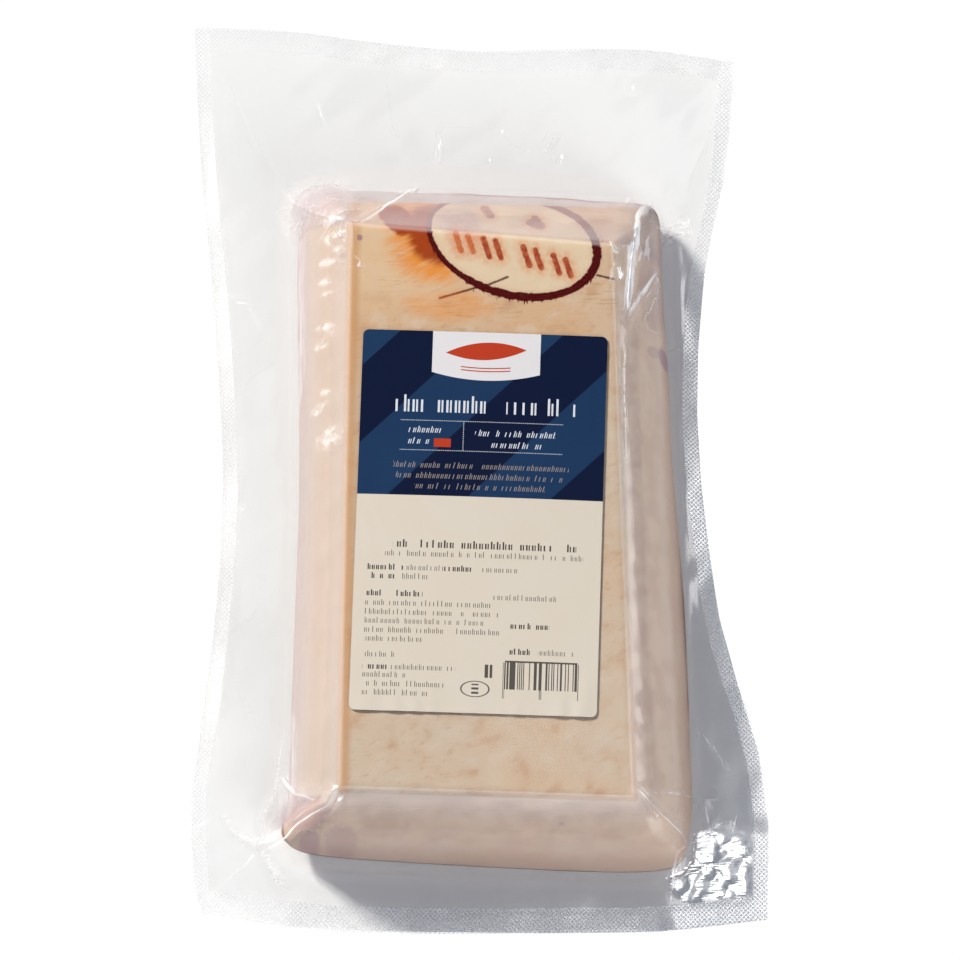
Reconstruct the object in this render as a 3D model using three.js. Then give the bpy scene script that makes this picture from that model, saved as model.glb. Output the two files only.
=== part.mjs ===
// A pork belly slab in its vacuum pouch, lying rind side up, with a paper label on top.
//
// Two films are welded together round the edge and drawn tight over the slab. So the pouch
// is a slab-shaped block with a flat top, sloping sides and a thin flange all round, and the
// sides of the flange are pulled in where the slab is. Millimetres, +Z up, +X to the right,
// +Y to the back. The origin is under the middle of the pouch, on the surface it lies on.

import * as THREE from 'three';

const { lerp, clamp, degToRad } = THREE.MathUtils;

// ---- driving dimensions ----

// The pouch seen from above. Each edge is a smooth line through stations:
// [y, x] along the left and right edge, [x, y] along the front and back edge.
const LEFT_EDGE = [[-157, -93.5], [-147, -96.5], [-112, -97.8], [-80, -93.4],
  [-13, -88.2], [59, -92], [110, -97], [163, -100]];
const RIGHT_EDGE = [[-158, 99.4], [-118, 99.7], [-92, 95.2], [-64, 86.4], [-38, 81.8],
  [15, 77], [66, 79.2], [108, 87.2], [151, 91.3]];
const FRONT_EDGE = [[-94, -156.3], [-60, -161.1], [-16, -162.6], [59, -162.5], [99.4, -158.4]];
const BACK_EDGE = [[-100, 163], [-64, 161.4], [-24, 156.6], [4, 154], [60, 155], [91.3, 150.5]];

// The flat top over the rind: its four corners, [x, y].
const TOP_BACK_LEFT = [-43.2, 79];
const TOP_BACK_RIGHT = [46.6, 71.5];
const TOP_FRONT_RIGHT = [52.6, -122.7];
const TOP_FRONT_LEFT = [-46, -119.4];

// The foot of the sloping sides, where the upper film meets the lower one.
const FOOT_BACK_LEFT = [-66, 104];
const FOOT_BACK_RIGHT = [69.5, 100];
const FOOT_FRONT_RIGHT = [77.5, -147];
const FOOT_FRONT_LEFT = [-67.5, -142.5];
const FOOT_WAIST = 2.5;         // how far the long sides of the foot bow inwards

const TOP_HEIGHT = 40;          // the flat top above the table, at its rim
const TOP_CROWN = 1.4;          // the top's middle above its rim
const TOP_SAG = 0.9;            // the hollow between the slab's two thicker ends
const FOOT_HEIGHT = 9.5;        // the flange's upper face at the foot of the sides
const EDGE_HEIGHT = 4.6;        // the same at the pouch's edge
const FLANGE_THICKNESS = 0.9;   // two films, with the juice between them
const FLANGE_WAVE = 1.7;        // the flange's edge rises and falls this much
const WAVE_LENGTH = 118;

const SIDE_SLANT = 0.28;        // share of a side's drop that is an even slant
const SIDE_BULGE = 2.3;         // power of the bulging rest
const FILLET_START = 0.78;      // from here on a side runs out into the flange
const CORNER_POWER = 3.6;       // how squarely two sides meet at a corner
const BASE_SHARE = 0.5;         // the flat underside reaches this far under the sides
const BASE_CURL = 2.3;          // power by which the lower film then rises to the flange

// Folds of spare film: a crest from one point [x, y] to the other, tapering to its ends.
const FOLDS = [
  { name: 'front left ear', from: [-45, -120], to: [-71, -134.5], height: 2.6, width: 3.4 },
  { name: 'front left fin', from: [-70, -133], to: [-86, -122], height: 2.4, width: 3.0 },
  { name: 'front left tail', from: [-71, -134], to: [-62, -150], height: 2.2, width: 3.0 },
  { name: 'front right ear', from: [53, -123], to: [73, -133], height: 2.8, width: 3.6 },
  { name: 'front right fin', from: [72, -132], to: [93, -141], height: 2.6, width: 3.4 },
  { name: 'front right flap', from: [60, -117.5], to: [80, -119.5], height: 1.8, width: 2.6 },
  { name: 'back left ear', from: [-41, 75], to: [-64, 97], height: 2.2, width: 3.4 },
  { name: 'back left crease', from: [-42, 84], to: [-18, 106], height: 1.3, width: 2.6 },
  { name: 'back right ear', from: [49, 66], to: [67, 92], height: 2.4, width: 3.4 },
  { name: 'back right fin', from: [64, 88], to: [84, 97], height: 2.0, width: 3.0 },
];

const LABEL_WIDTH = 84;
const LABEL_LENGTH = 134.2;
const LABEL_CORNER = 2;
const LABEL_CENTRE = [0.8, -27];
const LABEL_TURN = -1.9;        // degrees, clockwise seen from above
const LABEL_THICKNESS = 0.4;
const LABEL_GAP = 0.3;          // between the film and the label

// Cells of the mesh across each band: flange, side, top, side, flange.
const COLUMN_CELLS = [6, 7, 9, 7, 5];
const ROW_CELLS = [5, 7, 15, 7, 8];
const LABEL_COLUMNS = 8;
const LABEL_ROWS = 12;

// ---- lines seen from above ----

// The value at a place on the smooth line through stations [place, value].
function through(stations, place) {
  const at = clamp(place, stations[0][0], stations.at(-1)[0]);
  const last = stations.length - 1;
  const k = Math.min(stations.findIndex(([end], i) => i > 0 && at <= end), last) - 1;
  const slope = (i) => {
    const [before, after] = [stations[Math.max(i - 1, 0)], stations[Math.min(i + 1, last)]];
    return (after[1] - before[1]) / (after[0] - before[0]);
  };
  const [start, end] = [stations[k], stations[k + 1]];
  const span = end[0] - start[0];
  const t = (at - start[0]) / span;
  const toEnd = t * t * (3 - 2 * t);
  return lerp(start[1], end[1], toEnd)
    + span * t * (1 - t) * ((1 - t) * slope(k) - t * slope(k + 1));
}

// A straight line through two points, as x for a given y or as y for a given x.
const acrossAt = (a, b) => (y) => a[0] + (b[0] - a[0]) * (y - a[1]) / (b[1] - a[1]);
const alongAt = (a, b) => (x) => a[1] + (b[1] - a[1]) * (x - a[0]) / (b[0] - a[0]);

// The same for a long side of the foot, bowed inwards by the waist at its middle.
function waisted(a, b, inwards) {
  const straight = acrossAt(a, b);
  return (y) => {
    const t = clamp((y - a[1]) / (b[1] - a[1]), 0, 1);
    return straight(y) + inwards * FOOT_WAIST * Math.sin(Math.PI * t);
  };
}

const COLUMN_LINES = [
  (y) => through(LEFT_EDGE, y),
  waisted(FOOT_FRONT_LEFT, FOOT_BACK_LEFT, 1),
  acrossAt(TOP_FRONT_LEFT, TOP_BACK_LEFT),
  acrossAt(TOP_FRONT_RIGHT, TOP_BACK_RIGHT),
  waisted(FOOT_FRONT_RIGHT, FOOT_BACK_RIGHT, -1),
  (y) => through(RIGHT_EDGE, y),
];

const ROW_LINES = [
  (x) => through(FRONT_EDGE, x),
  alongAt(FOOT_FRONT_LEFT, FOOT_FRONT_RIGHT),
  alongAt(TOP_FRONT_LEFT, TOP_FRONT_RIGHT),
  alongAt(TOP_BACK_LEFT, TOP_BACK_RIGHT),
  alongAt(FOOT_BACK_LEFT, FOOT_BACK_RIGHT),
  (x) => through(BACK_EDGE, x),
];

// How far out of the flat top a point is in one direction: 0 on the top,
// 1 at the foot of the side and 2 at the pouch's edge.
function bandIn(lines, value, other) {
  const at = lines.map((line) => line(other));
  const [edge, foot, rim] = value < (at[2] + at[3]) / 2 ? at.slice(0, 3) : at.slice(3).reverse();
  const side = (value - rim) / (foot - rim);
  return side <= 1 ? Math.max(side, 0) : 1 + (value - foot) / (edge - foot);
}

// The same for both directions together, rounding the corners a little.
function band(x, y) {
  const outX = bandIn(COLUMN_LINES, x, y);
  const outY = bandIn(ROW_LINES, y, x);
  const both = outX ** CORNER_POWER + outY ** CORNER_POWER;
  return Math.min(both ** (1 / CORNER_POWER), 2);
}

// ---- heights ----

// Folds of spare film, as a height to add.
function folds(x, y) {
  let height = 0;
  for (const { from, to, height: crest, width } of FOLDS) {
    const [dx, dy] = [to[0] - from[0], to[1] - from[1]];
    const length = Math.hypot(dx, dy);
    const along = ((x - from[0]) * dx + (y - from[1]) * dy) / length ** 2;
    const off = ((x - from[0]) * dy - (y - from[1]) * dx) / length;
    const taper = Math.sin(Math.PI * clamp(along, 0, 1));
    height += crest * taper * Math.exp(-((off / width) ** 2));
  }
  return height;
}

// The flange's upper face: it falls towards the pouch's edge and waves there.
function flangeTop(x, y, out) {
  const wave = Math.sin(2 * Math.PI * (x + 0.8 * y) / WAVE_LENGTH)
    + 0.5 * Math.sin(2 * Math.PI * (y - 0.6 * x) / (0.55 * WAVE_LENGTH));
  return lerp(FOOT_HEIGHT, EDGE_HEIGHT, out ** 0.7) + FLANGE_WAVE * out * wave / 1.5;
}

// The flat top: crowned across, with a shallow hollow between the slab's thicker ends.
function crown(x, y) {
  const across = Math.cos(Math.PI * clamp(x / 110, -0.5, 0.5));
  const along = Math.cos(Math.PI * clamp((y + 24) / 210, -0.5, 0.5));
  return TOP_HEIGHT + TOP_CROWN * across * along - TOP_SAG * along ** 4;
}

// How much of a side's drop is done: 0 at the rim of the top, 1 at the foot. The side
// slants, bulges like the rind bent over the slab's edge, and ends in a hollow fillet.
function drop(out) {
  if (out >= 1) {
    return 1;
  }
  const at = Math.min(out, FILLET_START);
  const reached = SIDE_SLANT * at + (1 - SIDE_SLANT) * at ** SIDE_BULGE;
  if (out <= FILLET_START) {
    return reached;
  }
  const steepness = SIDE_SLANT + (1 - SIDE_SLANT) * SIDE_BULGE * at ** (SIDE_BULGE - 1);
  const run = 1 - FILLET_START;
  const t = (out - FILLET_START) / run;
  const left = (1 - t) ** 2;
  return reached * left * (1 + 2 * t) + steepness * run * t * left + t * t * (3 - 2 * t);
}

// Upper and lower face of the pouch at a point.
function faces(x, y) {
  const out = band(x, y);
  const onFlange = flangeTop(x, y, clamp(out - 1, 0, 1));
  const fold = folds(x, y);
  const top = lerp(crown(x, y), onFlange, drop(out)) + fold;
  const rise = clamp((out - BASE_SHARE) / (1 - BASE_SHARE), 0, 1) ** BASE_CURL;
  const bottom = (onFlange + fold * rise - FLANGE_THICKNESS) * rise;
  return { top, bottom };
}

// ---- solids ----

// A closed thin solid over a grid of points: at(i, j) gives x, y, top and bottom.
// Each cell's diagonal points away from the grid's middle, along the corner folds.
function gridSolid(columns, rows, at) {
  const positions = [];
  const index = [];
  const wide = columns + 1;
  const count = wide * (rows + 1);
  const points = [];
  for (let j = 0; j <= rows; j++) {
    for (let i = 0; i <= columns; i++) {
      points.push(at(i, j));
    }
  }
  points.forEach(({ x, y, top }) => positions.push(x, y, top));
  points.forEach(({ x, y, bottom }) => positions.push(x, y, bottom));
  for (let j = 0; j < rows; j++) {
    for (let i = 0; i < columns; i++) {
      const a = j * wide + i;
      const [b, c, d] = [a + 1, a + wide + 1, a + wide];
      const rising = (i < columns / 2) === (j < rows / 2);
      const cell = rising ? [a, b, c, a, c, d] : [a, b, d, b, c, d];
      index.push(...cell);
      index.push(...cell.map((corner) => corner + count).reverse());
    }
  }
  const rim = [
    ...Array.from({ length: columns }, (_, i) => i),
    ...Array.from({ length: rows }, (_, j) => j * wide + columns),
    ...Array.from({ length: columns }, (_, i) => rows * wide + columns - i),
    ...Array.from({ length: rows }, (_, j) => (rows - j) * wide),
  ];
  rim.forEach((a, k) => {
    const b = rim[(k + 1) % rim.length];
    index.push(a, b + count, b, a, a + count, b + count);
  });
  const geometry = new THREE.BufferGeometry();
  geometry.setAttribute('position', new THREE.Float32BufferAttribute(positions, 3));
  geometry.setIndex(index);
  geometry.computeVertexNormals();
  return geometry;
}

// Grid positions 0 … 5 counted in bands, with the given number of cells in each band.
function bandSteps(cells) {
  const steps = [0];
  cells.forEach((number, k) => {
    for (let i = 1; i <= number; i++) {
      steps.push(k + i / number);
    }
  });
  return steps;
}

// The line a given number of bands in, at the given place along it.
function lineAt(lines, step, place) {
  const k = Math.min(Math.floor(step), lines.length - 2);
  return lerp(lines[k](place), lines[k + 1](place), step - k);
}

function pouchGeometry() {
  const columns = bandSteps(COLUMN_CELLS);
  const rows = bandSteps(ROW_CELLS);
  return gridSolid(columns.length - 1, rows.length - 1, (i, j) => {
    let [x, y] = [0, 0];
    for (let round = 0; round < 16; round++) {
      x = lineAt(COLUMN_LINES, columns[i], y);
      y = lineAt(ROW_LINES, rows[j], x);
    }
    return { x, y, ...faces(x, y) };
  });
}

// The label lies on the flat top and bends with it. Its corners are rounded by rows that
// get shorter towards both ends.
function labelGeometry() {
  const turn = degToRad(LABEL_TURN);
  const [cos, sin] = [Math.cos(turn), Math.sin(turn)];
  const ends = [0, 0.12, 0.45, 1].map((share) => share * LABEL_CORNER);
  const inner = LABEL_LENGTH - 2 * LABEL_CORNER;
  const middle = Array.from({ length: LABEL_ROWS - 1 },
    (_, k) => LABEL_CORNER + inner * (k + 1) / LABEL_ROWS);
  const rows = [...ends, ...middle, ...ends.map((end) => LABEL_LENGTH - end).reverse()];
  return gridSolid(LABEL_COLUMNS, rows.length - 1, (i, j) => {
    const toEnd = Math.min(rows[j], LABEL_LENGTH - rows[j], LABEL_CORNER);
    const cut = LABEL_CORNER - Math.sqrt(LABEL_CORNER ** 2 - (LABEL_CORNER - toEnd) ** 2);
    const across = (i / LABEL_COLUMNS - 0.5) * (LABEL_WIDTH - 2 * cut);
    const along = rows[j] - LABEL_LENGTH / 2;
    const x = LABEL_CENTRE[0] + across * cos - along * sin;
    const y = LABEL_CENTRE[1] + across * sin + along * cos;
    const bottom = faces(x, y).top + LABEL_GAP;
    return { x, y, top: bottom + LABEL_THICKNESS, bottom };
  });
}

// ---- the object ----

const filmOverRind = new THREE.MeshStandardMaterial({
  name: 'film over rind', color: 0xe2cdb5, roughness: 0.22, metalness: 0,
});
const labelPaper = new THREE.MeshStandardMaterial({
  name: 'label paper', color: 0xece0cd, roughness: 0.55, metalness: 0,
});

const group = new THREE.Group();

const pouch = new THREE.Mesh(pouchGeometry(), filmOverRind);
pouch.name = 'vacuum_bag';
group.add(pouch);

const label = new THREE.Mesh(labelGeometry(), labelPaper);
label.name = 'label';
group.add(label);

export default group;
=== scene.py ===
"""A pork belly slab, rind side up, in its welded vacuum pouch with a paper label on top.

The film, the slab and the label are pieces of their own over the packed solids. Lengths are
millimetres, and a mesh is brought to metres when its points are set. The slab lies along Y,
with the pouch's wide unfilled end at the back (+Y).
"""

import logging
import math
from dataclasses import dataclass, field
from enum import Enum
from functools import cached_property
from typing import Any, Callable, Sequence, TypeAlias, Union

import bpy
import numpy as np
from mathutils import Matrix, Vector


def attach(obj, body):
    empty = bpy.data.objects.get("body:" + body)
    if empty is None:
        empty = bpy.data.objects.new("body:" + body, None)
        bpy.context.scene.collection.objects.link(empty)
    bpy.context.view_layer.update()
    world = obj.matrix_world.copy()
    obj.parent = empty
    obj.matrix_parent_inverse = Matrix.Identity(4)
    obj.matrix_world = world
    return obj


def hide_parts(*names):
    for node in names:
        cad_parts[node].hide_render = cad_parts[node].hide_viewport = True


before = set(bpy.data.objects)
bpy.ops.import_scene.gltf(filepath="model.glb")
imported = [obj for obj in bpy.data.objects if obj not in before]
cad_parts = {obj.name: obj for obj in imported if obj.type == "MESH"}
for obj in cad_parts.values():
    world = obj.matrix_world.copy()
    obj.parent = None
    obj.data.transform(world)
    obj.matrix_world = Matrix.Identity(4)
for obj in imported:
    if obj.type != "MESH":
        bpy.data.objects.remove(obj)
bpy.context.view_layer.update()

LOG = logging.getLogger("pork_belly")
MM = 0.001
LENGTH_SAMPLES = 801
MERGE_DISTANCE = 0.02 * MM
FAR = 1e9
NOISE_ROUGHNESS = 0.55

Array: TypeAlias = np.ndarray
Point: TypeAlias = tuple[float, float]
Colour: TypeAlias = tuple[float, float, float]
Socket: TypeAlias = bpy.types.NodeSocket


# ---- numbers ----


def lerp(start: Any, end: Any, share: Any) -> Any:
    """Value at a share of the way from start to end."""
    return start + (end - start) * share


def ease(value: Any, low: float = 0.0, high: float = 1.0) -> Any:
    """Smooth step from 0 at low to 1 at high."""
    t = np.clip((value - low) / (high - low), 0.0, 1.0)
    return t * t * (3.0 - 2.0 * t)


def rgb(code: str) -> Colour:
    """Linear colour of a screen colour.

    Args:
        code: Six hexadecimal digits, red first.

    Returns:
        Linear red, green and blue.
    """
    parts = [int(code[i:i + 2], 16) / 255 for i in (0, 2, 4)]
    linear = [p / 12.92 if p <= 0.04045 else ((p + 0.055) / 1.055) ** 2.4 for p in parts]
    return (linear[0], linear[1], linear[2])


def on_line(a: Point, b: Point, place: Array, axis: int) -> Array:
    """Straight line through two points, read at places along one axis.

    Args:
        a: First point, (x, y).
        b: Second point, (x, y).
        place: Coordinates along the axis.
        axis: 0 where place is x, 1 where it is y.

    Returns:
        The other coordinate at each place.
    """
    other = 1 - axis
    return a[other] + (b[other] - a[other]) * (place - a[axis]) / (b[axis] - a[axis])


def turned(x: Any, y: Any, centre: Point, degrees: float) -> tuple[Any, Any]:
    """Places in a frame that has its own centre and is turned counter-clockwise.

    Args:
        x: Places across, as an array or as a shader's value.
        y: Places along.
        centre: The frame's centre.
        degrees: The frame's turn.

    Returns:
        Places along the frame's first axis and along its second.
    """
    cos, sin = math.cos(math.radians(degrees)), math.sin(math.radians(degrees))
    off_x, off_y = x - centre[0], y - centre[1]
    return off_x * cos + off_y * sin, off_y * cos - off_x * sin


def graded(length: float, fine: float, coarse: float, reach: float) -> Array:
    """Shares that divide a length into cells, fine near both ends and coarse between.

    Args:
        length: The length to divide.
        fine: Size of a cell at the ends.
        coarse: Size of a cell far from them.
        reach: How far from the ends the cells grow.

    Returns:
        Shares from 0 to 1.
    """
    place = np.linspace(0.0, length, LENGTH_SAMPLES)
    to_end = np.minimum(place, length - place)
    cells = 1.0 / (coarse + (fine - coarse) * np.exp(-to_end / reach))
    passed = np.concatenate([[0.0], np.cumsum((cells[1:] + cells[:-1]) / 2 * np.diff(place))])
    count = max(1, math.ceil(passed[-1]))
    return np.interp(np.linspace(0.0, passed[-1], count + 1), passed, place) / length


@dataclass(frozen=True)
class SmoothLine:
    """A smooth line through stations, each a place and the value there."""

    stations: tuple[Point, ...]

    def at(self, place: Array) -> Array:
        """Values of the line.

        Args:
            place: Places, kept between the first station and the last.

        Returns:
            The value at each place.
        """
        places, values = np.array(self.stations, float).T
        after = np.minimum(np.arange(len(places)) + 1, len(places) - 1)
        before = np.maximum(np.arange(len(places)) - 1, 0)
        slopes = (values[after] - values[before]) / (places[after] - places[before])
        at = np.clip(place, places[0], places[-1])
        k = np.clip(np.searchsorted(places, at) - 1, 0, len(places) - 2)
        span = places[k + 1] - places[k]
        t = (at - places[k]) / span
        bend = span * t * (1 - t) * ((1 - t) * slopes[k] - t * slopes[k + 1])
        return lerp(values[k], values[k + 1], t * t * (3 - 2 * t)) + bend


@dataclass(frozen=True)
class Ripples:
    """A smooth uneven height: waves of several lengths and directions added up.

    heading turns the waves' crests, in degrees from Y, and spread is how far they stray.
    """

    seed: int
    shortest: float
    longest: float
    height: float
    count: int = 9
    heading: float = 0.0
    spread: float = 180.0

    def at(self, x: Array, y: Array) -> Array:
        """Heights of the waves.

        Args:
            x: Places across.
            y: Places along.

        Returns:
            Heights, mostly within plus or minus the given height.
        """
        draw = np.random.default_rng(self.seed)
        total = np.zeros_like(x, dtype=float)
        for _ in range(self.count):
            length = self.shortest * (self.longest / self.shortest) ** draw.random()
            turn = math.radians(self.heading + self.spread * (draw.random() - 0.5))
            shift = 2 * math.pi * draw.random()
            run = (x * math.cos(turn) + y * math.sin(turn)) / length
            total += np.sin(2 * math.pi * run + shift)
        return total * self.height / math.sqrt(self.count)


# ---- creases of the film ----


CREASE_TAPER = 0.7
CREASE_BLUNT = 0.25
PLEAT_HEIGHT = 0.85
PLEAT_HALF = 1.1
LIP_SLOPE = 5.0


class CreaseKind(Enum):
    """How a crease's section looks."""

    CREST = "one sharp crest"
    PLEAT = "two crests with a groove between them"
    LIP = "an edge that falls off to the right of its line"


@dataclass(frozen=True)
class Crease:
    """A crease of spare film along a chain of points, tapering to its ends.

    glow is how milky its line looks, and breadth how many times wider than a common one.
    """

    points: tuple[Point, ...]
    height: float
    width: float
    kind: CreaseKind = CreaseKind.CREST
    glow: float = 0.5
    breadth: float = 1.0

    def _nearest(self, x: Array, y: Array) -> tuple[Array, Array, float]:
        """Signed distance to the chain, right side positive, share along it, and its length."""
        steps = np.diff(np.array(self.points, float), axis=0)
        lengths = np.hypot(*steps.T)
        starts = np.concatenate([[0.0], np.cumsum(lengths)])
        best, along = np.full(x.shape, FAR), np.zeros(x.shape)
        for (px, py), (dx, dy), length, start in zip(self.points, steps, lengths, starts):
            t = np.clip(((x - px) * dx + (y - py) * dy) / length ** 2, 0.0, 1.0)
            apart = np.hypot(x - px - t * dx, y - py - t * dy)
            side = np.sign((x - px) * dy - (y - py) * dx)
            closer = apart < np.abs(best)
            best = np.where(closer, apart * np.where(side == 0, 1, side), best)
            along = np.where(closer, (start + t * length) / starts[-1], along)
        return best, along, float(starts[-1])

    def at(self, x: Array, y: Array) -> tuple[Array, Array, Array, Array]:
        """The crease's height, and where each place lies beside it.

        Args:
            x: Places across.
            y: Places along.

        Returns:
            Heights to add, signed distances over the line's breadth, places along it, and the
            strength of its lines.
        """
        far, along, length = self._nearest(x, y)
        taper = np.sin(math.pi * np.clip(along, 0.0, 1.0)) ** CREASE_TAPER
        blunt = CREASE_BLUNT * self.width

        def crest(off: Array) -> Array:
            """Share of the height at a distance from a crest's line."""
            return np.exp(-(np.hypot(off, blunt) - blunt) / self.width)

        if self.kind is CreaseKind.PLEAT:
            half = PLEAT_HALF * self.width
            section = PLEAT_HEIGHT * (crest(far - half) + crest(far + half))
        elif self.kind is CreaseKind.LIP:
            section = np.where(far < 0, np.exp(far / (LIP_SLOPE * self.width)), crest(far))
        else:
            section = crest(far)
        return self.height * taper * section, far / self.breadth, along * length, self.glow * taper


FRONT_LEFT_CREASES = (
    Crease(((-46.2, -119.3), (-50.5, -125.5), (-61.2, -128.9), (-73.8, -135.1)),
           2.1, 1.25, CreaseKind.PLEAT, 0.95, 1.3),
    Crease(((-68.5, -107), (-61.6, -118.3), (-53.5, -123.6)), 1.4, 1.0, glow=0.8, breadth=1.2),
    Crease(((-66.9, -96), (-69, -114), (-73.5, -125), (-73.8, -134.5)), 1.2, 1.1, glow=0.35),
    Crease(((-74.4, -134.6), (-82.7, -128.7), (-86.6, -121)), 0.6, 0.6, glow=0.4),
    Crease(((-73.8, -132.5), (-80.4, -129), (-85, -126.4)), 0.4, 0.6, glow=0.3),
    Crease(((-73.8, -135.1), (-71.1, -140.6), (-68.9, -145), (-63.5, -148.6)), 0.7, 0.6,
           glow=0.4),
    Crease(((-71.2, -133.2), (-70.3, -139), (-68.3, -143.4), (-63.8, -146)), 0.5, 0.5,
           glow=0.3),
)
FRONT_RIGHT_CREASES = (
    Crease(((51.3, -117.7), (56, -121.5), (62.2, -127.7), (69.5, -132.2), (72.5, -136)),
           1.9, 1.1, CreaseKind.PLEAT, 0.7),
    Crease(((76.5, -116.8), (57.5, -121.2)), 0.9, 0.9, CreaseKind.LIP, 0.35),
    Crease(((80, -128.4), (78.6, -122), (77.6, -116.4)), 1.3, 0.8, glow=0.55),
    Crease(((70.8, -131.8), (79.8, -127.2), (88.4, -122.8)), 1.4, 0.9, glow=0.35),
    Crease(((71, -133.5), (79, -129.7), (86.5, -126)), 0.9, 0.8, glow=0.3),
    Crease(((90, -119.5), (88.4, -124), (87.2, -129)), 1.2, 0.8, glow=0.6),
    Crease(((72.4, -133.6), (68, -138.5), (66.2, -146), (66.4, -155)), 1.3, 1.0, glow=0.5),
)
BACK_CREASES = (
    Crease(((-42.0, 78.8), (-35.4, 83.5), (-28.4, 90.2), (-19, 104.5)), 1.6, 1.1,
           CreaseKind.PLEAT, 0.9, 1.2),
    Crease(((-42.6, 79.6), (-49, 82.0), (-57, 87.5), (-68, 102)), 0.9, 0.9, glow=0.35),
    Crease(((-43.5, 83), (-51, 80.2), (-55.6, 74.0)), 0.5, 0.7, glow=0.45),
    Crease(((-37.5, 86), (-45, 85.6), (-54.4, 79.6)), 0.5, 0.7, glow=0.4),
    Crease(((-43.9, 72), (-47.5, 77.5), (-45.4, 84.6)), 0.4, 0.6, glow=0.4),
    Crease(((-42.8, 68), (-43.4, 82)), 0.3, 0.6, glow=0.5),
    Crease(((47, 71.2), (54, 76.5), (64.5, 84.5), (74, 92)), 1.5, 0.9, CreaseKind.PLEAT, 0.5),
    Crease(((60.5, 80.5), (67, 84.2), (75.5, 86.8)), 0.8, 0.8, glow=0.6),
    Crease(((60.8, 97.5), (56.6, 84), (53.6, 68), (50.9, 44)), 2.4, 2.2, glow=1.0, breadth=3.6),
    Crease(((51.2, 44), (56.0, 54), (63.5, 68.5)), 1.5, 1.1, glow=0.9, breadth=1.4),
    Crease(((51.1, 42), (50.6, 20), (51.6, -8)), 0.2, 0.7, glow=0.22),
    Crease(((45.2, 74.5), (47.4, 69.5), (50.8, 66.8)), 0.8, 0.8, glow=0.8),
    Crease(((46, 66.5), (48.8, 62.8), (49.2, 57)), 0.6, 0.8, glow=0.8),
    Crease(((-41.8, 62.2), (-39.4, 66.4)), 0.3, 0.6, glow=0.9, breadth=1.3),
)
FLANGE_CREASES = (
    Crease(((-13, 126), (-13.2, 110.5)), 0.7, 0.9, glow=0.55),
    Crease(((28.6, 124), (25.4, 118.6), (21.6, 114)), 0.7, 0.9, glow=0.45),
    Crease(((31, 114.5), (29, 110.5)), 0.5, 0.8, glow=0.4),
    Crease(((56.6, 143.5), (55, 138)), 0.6, 0.9, glow=0.4),
    Crease(((-67, 104), (-78, 120), (-90, 148)), 0.7, 2.6, glow=0.05),
    Crease(((71, 98), (79, 116), (88, 144)), 0.5, 2.4, glow=0.05),
    Crease(((-68, 40), (-78, 34), (-88, 22)), 0.2, 2.6, glow=0.04),
    Crease(((-67, -40), (-78, -52), (-90, -60)), 0.2, 3.0, glow=0.05),
    Crease(((75.8, -92), (82, -99), (87.5, -109)), 0.12, 0.5, glow=0.34),
    Crease(((-20, 108), (-30, 126), (-33, 152)), 0.5, 3.0, glow=0.03),
)


@dataclass(frozen=True)
class Lump:
    """A soft swelling of the film over a side, as an oval seen from above."""

    centre: Point
    reach: Point
    height: float

    def at(self, x: Array, y: Array) -> Array:
        """Heights to add at each place."""
        off = ((x - self.centre[0]) / self.reach[0]) ** 2 + ((y - self.centre[1]) / self.reach[1]) ** 2
        return self.height * np.exp(-off)


SIDE_LUMPS = (
    Lump((-50.4, 81.5), (3.4, 2.4), 1.0), Lump((-50.5, 75.0), (3.4, 2.4), 0.9),
    Lump((-47.6, 70.4), (2.8, 2.0), 0.6), Lump((-52.0, 67.2), (4.4, 2.0), 0.7),
    Lump((-52.5, 61.0), (3.2, 1.6), 0.5), Lump((-51.6, 56.4), (3.0, 1.4), 0.45),
    Lump((-52.6, 44.0), (4.2, 1.5), 0.5), Lump((-51.0, 40.6), (4.4, 1.4), 0.5),
    Lump((-54.0, 37.2), (2.8, 1.4), 0.4), Lump((-52.4, 20.6), (3.2, 1.2), 0.4),
    Lump((-53.2, 17.2), (4.2, 1.3), 0.45), Lump((-55.4, 14.2), (2.4, 1.2), 0.3),
    Lump((-50.6, 4.0), (5.6, 4.6), 1.3), Lump((-48.4, 22.0), (1.2, 1.2), 0.2),
    Lump((57.0, 6.5), (5.0, 1.5), 0.45), Lump((60.0, -24.0), (6.0, 1.3), 0.4),
    Lump((61.5, 33.0), (3.0, 2.6), 0.5), Lump((56.0, -66.0), (5.0, 7.0), 0.3),
    Lump((8.0, 84.0), (14.0, 2.0), 0.3),
)


# ---- the form that the pieces share ----


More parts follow.
